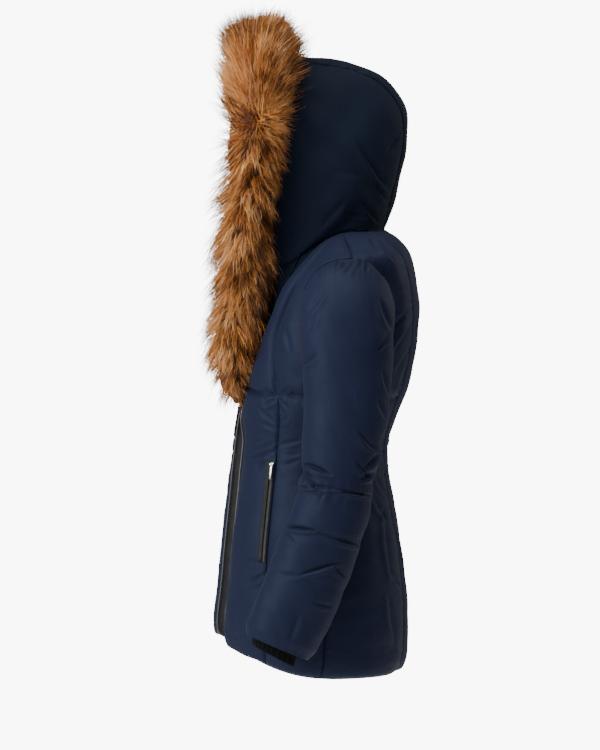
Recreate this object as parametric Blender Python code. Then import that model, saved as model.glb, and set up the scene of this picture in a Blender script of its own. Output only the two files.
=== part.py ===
"""A hip-length down parka with a fur-trimmed hood, worn shape, zipped to the chest.

Frame: metres, +Z up, the front faces -Y and the wearer's left arm is at +X. The origin is between the
shoulders at the root of the neck. Tables are in millimetres and are read through mm.
"""

import math

import bmesh
import bpy
from mathutils import Matrix, Vector

mm = 0.001

# Driving dimensions
seam_gap = 0.3 * mm          # between pieces that are sewn together
shell_wall = 4.5 * mm        # down-filled wall at its seams
hood_wall = 4.0 * mm
tape_half = 7.0 * mm         # half the width of the closed front zip
zip_centre = 4.0 * mm        # the zip closes a little to the wearer's left
zip_top_z = -262 * mm        # where the fronts start to part
zip_settles_over = 60 * mm   # below there it leads over to zip_centre
leather_wide = 11.0 * mm     # facing beside the front zip
leather_thick = 1.6 * mm
tape_sunk = 0.6 * mm         # the zip tape lies this far behind the fronts' edges
tape_thick = 2.0 * mm
slider_level = 7.35          # where the front zip's slider stands, in coat levels
pocket_welt_reach = (0.0, 0.5)
pocket_welt_thick = 2.4 * mm
pocket_zip_reach = (0.54, 0.92)
pocket_zip_lift = 0.3 * mm
pocket_zip_thick = 1.0 * mm
collar_wall = 2.5 * mm
collar_gap = 0.5 * mm
collar_columns = 8
collar_rows = 3
throat_y = -60 * mm          # the collar's wall is thick towards this line
collar_drop = (0.5, 3.4)     # levels below the neckline where the collar's lower edge starts, and its length
armhole_columns = 24
coat_levels = (0, 0.6, 1.2, 2, 2.9, 3.8, 4.3, 4.8, 5.3, 5.85, 6.4, 7, 7.5, 7.8, 8, 8.25,
               8.9, 9.7, 10.5, 11.2, 11.9, 12.5, 13.1, 13.6, 14, 14.35, 14.7, 15)
zip_rows = 14                # the front zip reaches up to this row of coat_levels
pocket_rows = (5, 9)         # the pocket lies between these rows
pocket_wide = 17 * mm        # from the side seam of the front to the pocket's front edge

# Rings of the coat from hem to neckline. Each ring has its own height at the front, side and back.
coat_columns = ("side_z", "front_z", "back_z", "half_width", "front_y", "back_y",
                "square", "open_x", "front_seam_y", "back_seam_x")
coat_stations = (
    (-741, -670, -729, 187, -205, 79, 2.3, 7.3, -148, 88),      # hem edge, turned in
    (-728, -664, -716, 196, -211, 91, 2.3, 7.3, -150, 90),      # hem fold
    (-690, -640, -685, 200, -212, 97, 2.3, 7.3, -150, 91),      # hem bulge
    (-600, -588, -600, 199, -206, 96, 2.3, 7.3, -149, 88),      # hip
    (-525, -522, -525, 189, -200, 87, 2.3, 7.3, -146, 82),      # low hip
    (-445, -445, -445, 168, -192, 75, 2.25, 7.3, -137, 74),     # high hip
    (-365, -365, -365, 152, -184, 67, 2.2, 7.3, -128, 70),      # waist
    (-305, -308, -305, 159, -176, 79, 2.2, 7.3, -124, 76),      # ribs
    (-252, -262, -252, 169, -167, 98, 2.25, 9, -127, 84),       # under the bust
    (-200, -222, -198, 176, -158, 110, 2.3, 27, -132, 90),      # bust
    (-140, -180, -143, 181, -146, 116, 2.3, 49, -127, 98),      # upper chest
    (-90, -142, -92, 183, -134, 114, 2.3, 65, -112, 109),       # across the armholes
    (-48, -112, -52, 178, -123, 106, 2.3, 75, -95, 114),        # shoulder points
    (-31, -92, -26, 150, -114, 98, 2.3, 81, -76, 110),          # outer shoulder
    (-15, -75, -4, 118, -104, 84, 2.3, 83, -52, 99),            # mid shoulder
    (1, -60, 10, 86, -90, 66, 2.3, 83, -24, 78),                # neckline
)

front_reach = 0.19           # a ring turns to its front height from a little behind the side
halvings = 26                # steps in which a point on a surface is closed in on

# Armhole, an oval in the side view
armhole_y = -16 * mm
armhole_z = -126 * mm
armhole_half_wide = 72 * mm
armhole_half_high = 79 * mm
armhole_square = 2.15
armhole_flat = 1.15          # the panels stay flat out to this many times the oval
armhole_fades_over = 0.35
armhole_cut_from = 90 * mm   # the armhole is cut between these distances from the middle
armhole_cut_to = 260 * mm

# Rings of the sleeve: the point next to the coat, the outer point, and the front and back edges
sleeve_columns = ("in_x", "in_z", "out_x", "out_z", "front_y", "back_y", "front_rise")
sleeve_stations = (
    (181, -207, 206, -54, -92, 54, 0),       # sleeve head
    (186, -212, 236, -75, -97, 53, 0),
    (189, -219, 261, -112, -98, 50, 0),
    (190, -227, 277, -160, -96, 46, 0),
    (190, -243, 285, -217, -92, 43, 0),      # upper arm
    (190, -292, 290, -283, -91, 38, 0),
    (191, -350, 293, -346, -94, 27, 0),
    (193, -405, 295, -402, -98, 13, 2),      # elbow
    (196, -457, 297, -455, -112, 4, 6),
    (200, -514, 299, -513, -134, -16, 11),
    (204, -581, 300, -580, -158, -43, 16),
    (208, -630, 300, -629, -176, -68, 20),
    (212, -666, 299, -665, -188, -90, 21),   # sleeve end
)
elbow_station = 8.35         # where the upper and the lower sleeve are joined
sleeve_square = 2.2

# Rib cuff: rings below the one that is sewn inside the sleeve
cuff_sewn_station = 12.3
cuff_stations = (
    (223, -648, 288, -647, -176, -102, 16),
    (226, -664, 285, -663, -178, -108, 17),
    (227, -680, 284, -679, -179, -112, 18),
)
cuff_wall = 2.2 * mm
cuff_gap = 0.7 * mm          # between the cuff's top and the inside of the sleeve
cuff_ribs = 28
rib_height = 0.8 * mm

# Hood: the arch at each row, from the face edge (0) to the neck seam (1)
hood_columns = ("row", "crown_y", "crown_z", "half_width", "square", "start_x", "start_y", "start_z")
hood_arches = (
    (0.00, -92, 300, 99, 2.7, 70, -141, -50),
    (0.12, -40, 294, 104, 2.6, 71, -137, -51),
    (0.27, 12, 286, 108, 2.5, 73, -131, -52),
    (0.42, 62, 264, 110, 2.4, 75, -124, -52),
    (0.56, 98, 218, 110, 2.35, 77, -117, -52),
    (0.70, 103, 160, 107, 2.3, 79, -109, -51),
    (0.84, 91, 96, 100, 2.3, 80, -102, -50),
    (0.94, 76, 46, 91, 2.3, 80, -98, -49),
    (1.00, 67, 12, 84, 2.3, 79, -95, -47),
)
neck_angle = math.radians(76)  # where the hood's lower edge meets the coat's neckline
neck_share = 0.32            # share of that edge between the throat and the neckline
neck_gap = 0.5 * mm
hood_edge_lift = 11 * mm     # how far that edge bows up between the throat and the neckline
gusset_half = 40 * mm        # half the width of the strip over the crown
hood_rows = 15
hood_side_columns = 10

collar_neck_turn = 0.27      # the collar's upper edge on the hood starts here, at collar_low_row
collar_throat_turn = 0.06    # and turns up here to collar_high_row
collar_low_row = 0.97
collar_high_row = 0.17

# Fur ruff: centre line of the left half from its lower tip to the top, with half the depth and height
ruff_columns = ("x", "y", "z", "half_deep", "half_high")
ruff_stations = (
    (20, -177, -284, 4, 4),
    (25, -182, -262, 20, 15),
    (33, -189, -235, 29, 24),
    (44, -193, -195, 39, 32),
    (57, -190, -150, 45, 37),
    (70, -178, -95, 41, 38),
    (81, -169, -40, 43, 38),
    (92, -166, 25, 39, 40),
    (103, -153, 90, 39, 41),
    (110, -147, 150, 41, 42),
    (110, -143, 205, 47, 43),
    (98, -147, 255, 59, 44),
    (72, -139, 297, 67, 45),
    (38, -139, 320, 66, 46),
    (0, -141, 326, 62, 46),
)
ruff_rings = 45
hood_middle = Vector((0, -20 * mm, 110 * mm))
hood_puff = 3.5 * mm
hood_thins_over = 0.15       # share of the rows in which the puff thins out at the face and the neck
neck_blend_row = 0.72        # from this row on the arches lead over to the neck seam
ruff_sides = 12


def curve_through(keys, values, at):
    """A smooth curve through values at rising keys, straight past its ends."""
    last = len(keys) - 1
    span = 0
    while span < last - 1 and at > keys[span + 1]:
        span += 1

    def slope(i):
        low = max(i - 1, 0)
        high = min(i + 1, last)
        return (values[high] - values[low]) / (keys[high] - keys[low])

    step = keys[span + 1] - keys[span]
    t = (at - keys[span]) / step
    a = values[span]
    b = values[span + 1]
    da = slope(span) * step
    db = slope(span + 1) * step
    t = min(max(t, 0.0), 1.0)
    return (a * (1 + 2 * t) * (1 - t) ** 2 + b * t * t * (3 - 2 * t)
            + da * t * (1 - t) ** 2 + db * t * t * (t - 1))


def read(columns, table, at, keys=None):
    """One row of a table at a position between its rows, as names and values."""
    keys = keys or list(range(len(table)))
    return {name: curve_through(keys, [row[i] for row in table], at) for i, name in enumerate(columns)}


def power(value, exponent):
    return math.copysign(abs(value) ** exponent, value)


def fade(value):
    """0 below 0, 1 above 1, smooth between."""
    t = min(max(value, 0.0), 1.0)
    return t * t * (3 - 2 * t)


# Coat body

coat_top = len(coat_stations) - 1


def coat_ring(level):
    return read(coat_columns, coat_stations, level)


def ring_point(ring, angle):
    """A point of a coat ring: 0 is the centre front, 90 degrees the left side, 180 the centre back."""
    round_power = 2 / ring["square"]
    forward = math.cos(angle)
    centre = (ring["front_y"] + ring["back_y"]) / 2
    half = (ring["back_y"] - ring["front_y"]) / 2
    x = ring["half_width"] * power(math.sin(angle), round_power)
    y = centre - half * power(forward, round_power)
    front = (max(forward + front_reach, 0.0) / (1 + front_reach)) ** 2
    back = max(-forward, 0.0) ** 2
    z = ring["side_z"] + (ring["front_z"] - ring["side_z"]) * front + (ring["back_z"] - ring["side_z"]) * back
    return Vector((x, y, z)) * mm


def coat_point(angle, level):
    return ring_point(coat_ring(level), angle)


def angle_at_y(ring, y):
    centre = (ring["front_y"] + ring["back_y"]) / 2
    half = (ring["back_y"] - ring["front_y"]) / 2
    side = min(max((centre - y) / half, -1.0), 1.0)
    return math.acos(power(side, ring["square"] / 2))


def angle_at_x(ring, x):
    return math.asin(min(power(x / ring["half_width"], ring["square"] / 2), 1.0))


def zip_line(level):
    """Middle of the front zip across the coat."""
    return zip_centre * fade((zip_top_z - coat_ring(level)["front_z"] * mm) / zip_settles_over)


def front_edge(level, side):
    """Angle of a front's edge: beside the zip, then along the open V of the neck."""
    ring = coat_ring(level)
    return angle_at_x(ring, ring["open_x"] + side * zip_line(level) / mm)


def front_seam(level):
    ring = coat_ring(level)
    return angle_at_y(ring, ring["front_seam_y"])


def back_seam(level):
    ring = coat_ring(level)
    return math.pi - angle_at_x(ring, ring["back_seam_x"])


def coat_x(y, z):
    """How far out the coat's side lies at a point of the side view, between hem and shoulder."""
    low = 0.0
    high = float(coat_top)
    for halving in range(halvings):
        level = (low + high) / 2
        ring = coat_ring(level)
        point = ring_point(ring, angle_at_y(ring, y / mm))
        if point.z < z:
            low = level
        else:
            high = level
    return point.x


panel_puff = {"front": 9.0 * mm, "side": 6.0 * mm, "back": 7.0 * mm}
seam_roundness = 2.6         # higher keeps a panel full closer to its seams
hem_thins_over = 0.9         # levels above the hem in which the down thins out
neck_thins_over = 2.5        # the same below the neckline
draw_columns = ("kinds", "level", "half_high", "share")
draw_lines = (               # where the down is drawn in across a panel, and by what share of its puff
    (("front", "side", "back"), 6.0, 0.9, 0.45),        # waist
    (("front", "side"), 8.0, 0.22, 0.85),               # sewn line across the chest
)


def across(part):
    """How full a down panel stands between its two seams, 0 at both."""
    return max(1 - abs(2 * part - 1) ** seam_roundness, 0.0)


def down(level, kind):
    """How full a down panel stands along its length: flat at hem and neck, drawn in at the sewn lines."""
    full = fade(level / hem_thins_over) * fade((coat_top - level) / neck_thins_over)
    for row in draw_lines:
        line = dict(zip(draw_columns, row))
        if kind in line["kinds"]:
            full *= 1 - line["share"] * math.exp(-((level - line["level"]) / line["half_high"]) ** 2)
    return full


def surface_normal(surface, u, v, step):
    across_u = surface(u + step, v) - surface(u - step, v)
    along_v = surface(u, v + step) - surface(u, v - step)
    return across_u.cross(along_v).normalized()


def outward_normal(surface, u, v, step, middle):
    """The normal that points away from a point inside the form."""
    normal = surface_normal(surface, u, v, step)
    return normal if normal.dot(surface(u, v) - middle) > 0 else -normal


# Mesh helpers

def add_object(name, mesh_maker, material):
    mesh = bpy.data.meshes.new(name)
    shape = bmesh.new()
    mesh_maker(shape)
    bmesh.ops.recalc_face_normals(shape, faces=shape.faces[:])
    if shape.calc_volume(signed=True) < 0:
        bmesh.ops.reverse_faces(shape, faces=shape.faces[:])
    shape.to_mesh(mesh)
    shape.free()
    made = bpy.data.objects.new(name, mesh)
    bpy.context.scene.collection.objects.link(made)
    if material is not None:
        mesh.materials.append(material)
    for face in mesh.polygons:
        face.use_smooth = True
    return made


def shell_maker(outer, inner, closed=False):
    """Faces of a wall from two grids of points; closed grids run round a tube."""

    def make(shape):
        rows = len(outer)
        columns = len(outer[0])
        out = [[shape.verts.new(p) for p in row] for row in outer]
        into = [[shape.verts.new(p) for p in row] for row in inner]
        spans = columns if closed else columns - 1
        for j in range(rows - 1):
            for i in range(spans):
                k = (i + 1) % columns
                shape.faces.new((out[j][i], out[j][k], out[j + 1][k], out[j + 1][i]))
                shape.faces.new((into[j + 1][i], into[j + 1][k], into[j][k], into[j][i]))
        for i in range(spans):
            k = (i + 1) % columns
            shape.faces.new((into[0][i], into[0][k], out[0][k], out[0][i]))
            shape.faces.new((out[-1][i], out[-1][k], into[-1][k], into[-1][i]))
        if not closed:
            for j in range(rows - 1):
                shape.faces.new((out[j][0], out[j + 1][0], into[j + 1][0], into[j][0]))
                shape.faces.new((into[j][-1], into[j + 1][-1], out[j + 1][-1], out[j][-1]))

    return make


def mirrored(grid, side):
    return [[Vector((p.x * side, p.y, p.z)) for p in row] for row in grid]


def boolean_cut(target, cutter):
    cut = target.modifiers.new("cut_" + cutter.name, "BOOLEAN")
    cut.operation = "DIFFERENCE"
    cut.solver = "EXACT"
    cut.object = cutter


def hide_cutter(cutter):
    cutter.hide_render = True
    cutter.display_type = "WIRE"


def principled(name, colour, roughness, metallic=0.0):
    made = bpy.data.materials.new(name)
    made.use_nodes = True
    shader = made.node_tree.nodes["Principled BSDF"]
    shader.inputs["Base Color"].default_value = (*colour, 1.0)
    shader.inputs["Roughness"].default_value = roughness
    shader.inputs["Metallic"].default_value = metallic
    return made


# Pieces of the coat body

def seam_trim(edge, level):
    """The angle that moves a panel's edge half a seam gap away from its seam line."""
    at = min(max(level, 0.05), coat_top - 0.05)
    angle = edge(at)
    turning = (coat_point(angle + 0.01, at) - coat_point(angle - 0.01, at)) / 0.02
    along = (coat_point(edge(at + 0.05), at + 0.05) - coat_point(edge(at - 0.05), at - 0.05)).normalized()
    square_to_seam = turning - along * turning.dot(along)
    return 0.5 * seam_gap / square_to_seam.length


def panel_parts(kind, columns, width):
    """Where a panel's columns lie between its seams; a front keeps strips for its zip facing and pocket."""
    if kind != "front":
        return [i / columns for i in range(columns + 1)]
    facing = min(leather_wide / width, 0.3)
    pocket = 1 - min(pocket_wide / width, 0.3)
    middle = columns - 2
    return [0.0] + [facing + (pocket - facing) * i / middle for i in range(middle + 1)] + [1.0]


def fullness(kind, part, parts):
    if kind != "front":
        return across(part)
    return across(max((part - parts[1]) / (1 - parts[1]), 0.0))


def panel_grids(start, end, kind, columns):
    """Outer and inner points of a down panel between two seam lines, given as angles for each level."""
    outer = []
    inner = []
    for level in coat_levels:
        first = start(level) + seam_trim(start, level)
        last = end(level) - seam_trim(end, level)
        width = (coat_point(last, level) - coat_point(first, level)).length
        parts = panel_parts(kind, columns, width)
        outer_row = []
        inner_row = []
        for part in parts:
            angle = first + (last - first) * part
            base = coat_point(angle, level)
            normal = surface_normal(coat_point, angle, min(max(level, 0.02), coat_top - 0.02), 0.01)
            puff = panel_puff[kind] * fullness(kind, part, parts) * down(level, kind) * beside_armhole(base)
            outer_row.append(base + normal * puff)
            inner_row.append(base - normal * shell_wall)
        outer.append(outer_row)
        inner.append(inner_row)
    return outer, inner


def coat_panel(name, grids, material, side=1):
    return add_object(name, shell_maker(mirrored(grids[0], side), mirrored(grids[1], side)), material)


def beside_armhole(point):
    """0 at the armhole's edge, rising to 1 a little way outside it."""
    wide = abs(point.y - armhole_y) / armhole_half_wide
    high = abs(point.z - armhole_z) / armhole_half_high
    return fade(((wide ** armhole_square + high ** armhole_square) ** (1 / armhole_square) - armhole_flat)
                / armhole_fades_over)


def armhole_outline():
    points = []
    for i in range(armhole_columns):
        turn = 2 * math.pi * i / armhole_columns
        y = armhole_y + armhole_half_wide * power(math.sin(turn), 2 / armhole_square)
        z = armhole_z - armhole_half_high * power(math.cos(turn), 2 / armhole_square)
        points.append((y, z))
    return points


def armhole_cutter(name, side):
    near = [Vector((side * armhole_cut_from, y, z)) for y, z in armhole_outline()]
    far = [Vector((side * armhole_cut_to, y, z)) for y, z in armhole_outline()]

    def make(shape):
        a = [shape.verts.new(p) for p in near]
        b = [shape.verts.new(p) for p in far]
        shape.faces.new(a)
        shape.faces.new(b[::-1])
        for i in range(len(a)):
            k = (i + 1) % len(a)
            shape.faces.new((a[i], b[i], b[k], a[k]))

    cutter = add_object(name, make, None)
    hide_cutter(cutter)
    return cutter


# Sleeves

def tube_point(ring, turn, square):
    """A point of a sleeve ring: turn 0 is next to the coat, 90 degrees the back, 180 the outer side."""
    out = -power(math.cos(turn), 2 / square)
    back = power(math.sin(turn), 2 / square)
    x = (ring["in_x"] + ring["out_x"]) / 2 + (ring["out_x"] - ring["in_x"]) / 2 * out
    z = (ring["in_z"] + ring["out_z"]) / 2 + (ring["out_z"] - ring["in_z"]) / 2 * out
    y = (ring["front_y"] + ring["back_y"]) / 2 + (ring["back_y"] - ring["front_y"]) / 2 * back
    return Vector((x, y, z - ring["front_rise"] * back)) * mm


sleeve_wall = 4.0 * mm
sleeve_stand = 0.8 * mm      # the sleeve head starts this far outside the armhole's edge
armhole_points = []
for outline_y, outline_z in armhole_outline():
    armhole_points.append(Vector((coat_x(outline_y, outline_z) + sleeve_stand, outline_y, outline_z)))
sleeve_last = len(sleeve_stations)
sleeve_keys = list(range(sleeve_last + 1))


def sleeve_point(turn, level):
    """Outer surface of the sleeve: level 0 is the armhole seam, then one level for each ring."""
    column = turn / (2 * math.pi) * armhole_columns
    low = math.floor(column)
    share = column - low
    low_point = armhole_points[low % armhole_columns]
    high_point = armhole_points[(low + 1) % armhole_columns]
    seam = low_point.lerp(high_point, share)
    rings = [dict(zip(sleeve_columns, row)) for row in sleeve_stations]
    around = [seam] + [tube_point(ring, turn, sleeve_square) for ring in rings]
    return Vector([curve_through(sleeve_keys, [p[k] for p in around], level) for k in range(3)])


sleeve_fill = 4.0            # how full the down stands, in mm, from the head to the sewn sleeve end
inner_flat = 0.8             # share of it that is pressed flat next to the coat
fold_columns = ("level", "degrees", "half_high", "half_wide", "depth")
sleeve_folds = (             # sewn lines and large folds round the sleeve; height in levels, depth in mm
    (8.35, 300, 0.16, 60, 5.0),
    (7.75, 285, 0.14, 45, 6.0),
    (7.95, 60, 0.15, 50, 6.0),
    (6.9, 75, 0.18, 45, 5.0),
    (9.6, 180, 0.12, 170, 4.0),
    (10.7, 200, 0.12, 120, 3.0),
    (3.6, 60, 0.25, 40, 6.0),
    (1.3, 180, 0.2, 60, 3.0),
)


def sleeve_swell(turn, level):
    """Down filling of the sleeve, with its sewn lines and largest folds."""
    swell = sleeve_fill * fade((level - 0.4) / 2.0) * fade((sleeve_last - level) / 0.7)
    for row in sleeve_folds:
        fold = dict(zip(fold_columns, row))
        apart = (math.degrees(turn) - fold["degrees"] + 180) % 360 - 180
        round_it = (apart / fold["half_wide"]) ** 2
        swell -= fold["depth"] * math.exp(-((level - fold["level"]) / fold["half_high"]) ** 2 - round_it)
    inner_side = 0.5 + 0.5 * math.cos(turn)
    return swell * (1 - inner_flat * inner_side * fade((4.5 - level) / 1.5)) * mm


def sleeve_part(name, levels, material, side):
    outer = []
    inner = []
    for level in levels:
        outer_row = []
        inner_row = []
        for i in range(armhole_columns):
            turn = 2 * math.pi * i / armhole_columns
            base = sleeve_point(turn, level)
            sample = min(max(level, 0.04), sleeve_last - 0.04)
            normal = outward_normal(sleeve_point, turn, sample, 0.02, sleeve_middle(sample))
            outer_row.append(base + normal * sleeve_swell(turn, level))
            inner_row.append(base - normal * sleeve_wall)
        outer.append(outer_row)
        inner.append(inner_row)
    return add_object(name, shell_maker(mirrored(outer, side), mirrored(inner, side), closed=True), material)


def sleeve_middle(level):
    return (sleeve_point(0.0, level) + sleeve_point(math.pi, level)) / 2


def levels_between(first, last, count):
    return [first + (last - first) * i / count for i in range(count + 1)]


def cuff(name, material, side):
    """Rib cuff: sewn to the inside of the sleeve, then narrower, with its ribs raised outside."""
    columns = cuff_ribs * 2
    rings = [dict(zip(sleeve_columns, row)) for row in cuff_stations]
    outer = []
    inner = []
    for j in range(len(rings) + 1):
        outer_row = []
        inner_row = []
        for i in range(columns):
            turn = 2 * math.pi * i / columns
            if j == 0:
                base = sleeve_point(turn, cuff_sewn_station)
                middle = sleeve_middle(cuff_sewn_station)
                normal = outward_normal(sleeve_point, turn, cuff_sewn_station, 0.02, middle)
                point = base - normal * (sleeve_wall + cuff_gap)
            else:
                point = tube_point(rings[j - 1], turn, sleeve_square)
            centre = cuff_centre(rings, j)
            toward = (centre - point).normalized()
            rib = rib_height * (i % 2) if j else 0.0
            outer_row.append(point + toward * (rib_height - rib))
            inner_row.append(point + toward * (cuff_wall + rib_height))
        outer.append(outer_row)
        inner.append(inner_row)
    return add_object(name, shell_maker(mirrored(outer, side), mirrored(inner, side), closed=True), material)


def cuff_centre(rings, row):
    if row == 0:
        return sleeve_middle(cuff_sewn_station)
    ring = rings[row - 1]
    return (tube_point(ring, 0.0, 2.0) + tube_point(ring, math.pi, 2.0)) / 2


# Hood

hood_keys = [row[0] for row in hood_arches]


def neck_point(rise):
    """The hood's lower edge: from the throat up to the neckline (0 to neck_share), then round the nape."""
    start = Vector((hood_arches[-1][5], hood_arches[-1][6], hood_arches[-1][7])) * mm
    meeting = coat_point(neck_angle, coat_top)
    if rise < neck_share:
        lift = neck_gap + hood_edge_lift * math.sin(math.pi * rise / neck_share)
        return start.lerp(meeting, rise / neck_share) + Vector((0, 0, lift))
    share = (rise - neck_share) / (1 - neck_share)
    return coat_point(neck_angle + (math.pi - neck_angle) * share, coat_top) + Vector((0, 0, neck_gap))


def hood_point(row, turn):
    """Outer surface of the hood: row runs from the face edge to the neck seam, turn from one lower
    end (0) over the crown (1) to the other (2)."""
    arch = read(hood_columns, hood_arches, row, hood_keys)
    side = 1 if turn <= 1 else -1
    rise = min(turn, 2 - turn)
    start = Vector((0, arch["start_y"], arch["start_z"]))
    crown = Vector((0, arch["crown_y"], arch["crown_z"]))
    climb = power(math.sin(rise * math.pi / 2), 2 / arch["square"])
    narrow = arch["start_x"] / arch["half_width"]
    widen = narrow + (1 - narrow) * fade(climb / 0.55)
    point = start.lerp(crown, climb)
    point.x = arch["half_width"] * power(math.cos(rise * math.pi / 2), 2 / arch["square"]) * widen
    point = (point * mm).lerp(neck_point(rise), fade((row - neck_blend_row) / (1 - neck_blend_row)))
    return Vector((side * point.x, point.y, point.z))


def hood_turn_at_x(row, x):
    low = 0.3
    high = 1.0
    for halving in range(halvings):
        turn = (low + high) / 2
        if hood_point(row, turn).x > x:
            low = turn
        else:
            high = turn
    return turn


def hood_panel(name, start, end, columns, material, side=1):
    outer = []
    inner = []
    for j in range(hood_rows + 1):
        row = j / hood_rows
        first = start(row)
        last = end(row)
        outer_row = []
        inner_row = []
        for i in range(columns + 1):
            part = i / columns
            turn = first + (last - first) * part
            base = hood_point(row, turn)
            sample_row = min(max(row, 0.01), 0.99)
            sample_turn = min(max(turn, 0.03), 1.97)
            normal = outward_normal(hood_point, sample_row, sample_turn, 0.01, hood_middle)
            ends = fade(row / hood_thins_over) * fade((1 - row) / hood_thins_over)
            puff = hood_puff * across(part) * ends
            outer_row.append(base + normal * puff)
            inner_row.append(base - normal * hood_wall)
        outer.append(outer_row)
        inner.append(inner_row)
    return add_object(name, shell_maker(mirrored(outer, side), mirrored(inner, side)), material)


# Fur ruff

ruff_keys = list(range(len(ruff_stations)))


def ruff_ring(level):
    """Ring of the whole ruff: level runs from the left tip (0) over the top to the right tip."""
    top = len(ruff_stations) - 1
    side = 1 if level <= top else -1
    return read(ruff_columns, ruff_stations, min(level, 2 * top - level), ruff_keys), side


def ruff_centre(level):
    ring, side = ruff_ring(level)
    return Vector((side * ring["x"], ring["y"], ring["z"])) * mm


def ruff_point(level, turn, grow):
    """A point of the ruff's outer form: turn 0 is its back, 180 degrees its front."""
    ring, side = ruff_ring(level)
    along = (ruff_centre(level + 0.05) - ruff_centre(level - 0.05)).normalized()
    deep = Vector((0, 1, 0))
    deep = (deep - along * deep.dot(along)).normalized()
    high = along.cross(deep)
    half_deep = ring["half_deep"] * mm + grow
    half_high = ring["half_high"] * mm + grow
    return ruff_centre(level) + deep * half_deep * math.cos(turn) + high * half_high * math.sin(turn)


def ruff_maker(grow):
    last = 2 * (len(ruff_stations) - 1)

    def make(shape):
        rings = []
        for j in range(ruff_rings + 1):
            level = last * j / ruff_rings
            level = min(max(level, 0.06), last - 0.06)
            turns = [2 * math.pi * i / ruff_sides for i in range(ruff_sides)]
            rings.append([shape.verts.new(ruff_point(level, turn, grow)) for turn in turns])
        for a, b in zip(rings, rings[1:]):
            for i in range(ruff_sides):
                k = (i + 1) % ruff_sides
                shape.faces.new((a[i], a[k], b[k], b[i]))
        shape.faces.new(rings[0][::-1])
        shape.faces.new(rings[-1])

    return make


def collar(name, material, side):
    """Stand of the collar at one side of the throat, behind the hood's lower edge and the front's edge."""
    outer = []
    inner = []
    for j in range(collar_rows + 1):
        outer_row = []
        inner_row = []
        for i in range(collar_columns + 1):
            share = i / collar_columns
            point = collar_upper(share).lerp(collar_lower(share), j / collar_rows)
            inward = (Vector((0, throat_y, point.z)) - point).normalized()
            outer_row.append(point)
            inner_row.append(point + inward * collar_wall)
        outer.append(outer_row)
        inner.append(inner_row)
    return add_object(name, shell_maker(mirrored(outer, side), mirrored(inner, side)), material)


def collar_upper(share):
    """Along the inside of the hood just above its lower edge, from the neck to the throat."""
    sideways = min(2 * share, 1.0)
    upward = max(2 * share - 1, 0.0)
    turn = collar_neck_turn + (collar_throat_turn - collar_neck_turn) * sideways
    row = collar_low_row + (collar_high_row - collar_low_row) * upward
    normal = outward_normal(hood_point, row, turn, 0.01, hood_middle)
    return hood_point(row, turn) - normal * (hood_wall + collar_gap)


def collar_lower(share):
    """Along the front's V edge, downwards from the neck, just clear of it."""
    level = coat_top - collar_drop[0] - collar_drop[1] * share
    angle = front_edge(level, 1)
    normal = surface_normal(coat_point, angle, level, 0.01)
    ahead = (coat_point(angle - 0.01, level) - coat_point(angle + 0.01, level)).normalized()
    depth = (shell_wall + collar_gap) * (1 - fade(share / 0.5)) + collar_gap
    return coat_point(angle, level) + ahead * 1.8 * collar_gap - normal * depth


# Zips, facings and pockets

def zip_tape(name, material, side):
    """One half of the closed front zip, a strip between its teeth and the front's edge."""
    outer = []
    inner = []
    for level in coat_levels[:zip_rows + 1]:
        ring = coat_ring(level)
        outer_row = []
        inner_row = []
        for reach in (seam_gap / 2, tape_half):
            x = side * zip_line(level) + reach
            base = ring_point(ring, angle_at_x(ring, x / mm))
            outer_row.append(base + Vector((0, tape_sunk, 0)))
            inner_row.append(base + Vector((0, tape_sunk + tape_thick, 0)))
        outer.append(outer_row)
        inner.append(inner_row)
    return add_object(name, shell_maker(mirrored(outer, side), mirrored(inner, side)), material)


def strip_on(name, grid, rows, column, reach, lift, thick, material, side):
    """A strip lying on one column of a panel: reach gives its two edges as shares of the column."""
    outer = []
    inner = []
    for j in range(rows[0], rows[1] + 1):
        a = grid[j][column]
        b = grid[j][column + 1]
        low = grid[max(j - 1, 0)][column]
        high = grid[min(j + 1, len(grid) - 1)][column]
        normal = (b - a).cross(high - low).normalized()
        edges = [a.lerp(b, share) for share in reach]
        inner.append([p + normal * lift for p in edges])
        outer.append([p + normal * (lift + thick) for p in edges])
    return add_object(name, shell_maker(mirrored(outer, side), mirrored(inner, side)), material)


def box_maker(sizes, centre, taper=1.0):
    """A block; taper narrows its lower end across."""

    def make(shape):
        made = bmesh.ops.create_cube(shape, size=1.0)["verts"]
        for vert in made:
            narrow = taper if vert.co.z < 0 else 1.0
            vert.co = Vector((vert.co.x * sizes[0] * narrow, vert.co.y * sizes[1], vert.co.z * sizes[2]))
            vert.co += Vector(centre)

    return make


def rod_maker(radius, length):
    def make(shape):
        made = bmesh.ops.create_cone(shape, cap_ends=True, segments=12, radius1=radius, radius2=radius,
                                     depth=length)["verts"]
        turn = Matrix.Rotation(math.pi / 2, 4, "Y")
        for vert in made:
            vert.co = turn @ vert.co

    return make


def joined(name, makers, holes, material, place):
    """One solid from overlapping shapes, less the holes, put in its place."""
    body = add_object(name, makers[0], material)
    for number, maker in enumerate(makers[1:] + holes):
        tool = add_object(f"{name}_tool_{number}", maker, None)
        tool.matrix_world = place
        hide_cutter(tool)
        step = body.modifiers.new("shape_" + str(number), "BOOLEAN")
        step.operation = "UNION" if number < len(makers) - 1 else "DIFFERENCE"
        step.solver = "EXACT"
        step.object = tool
    body.matrix_world = place
    return body


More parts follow.
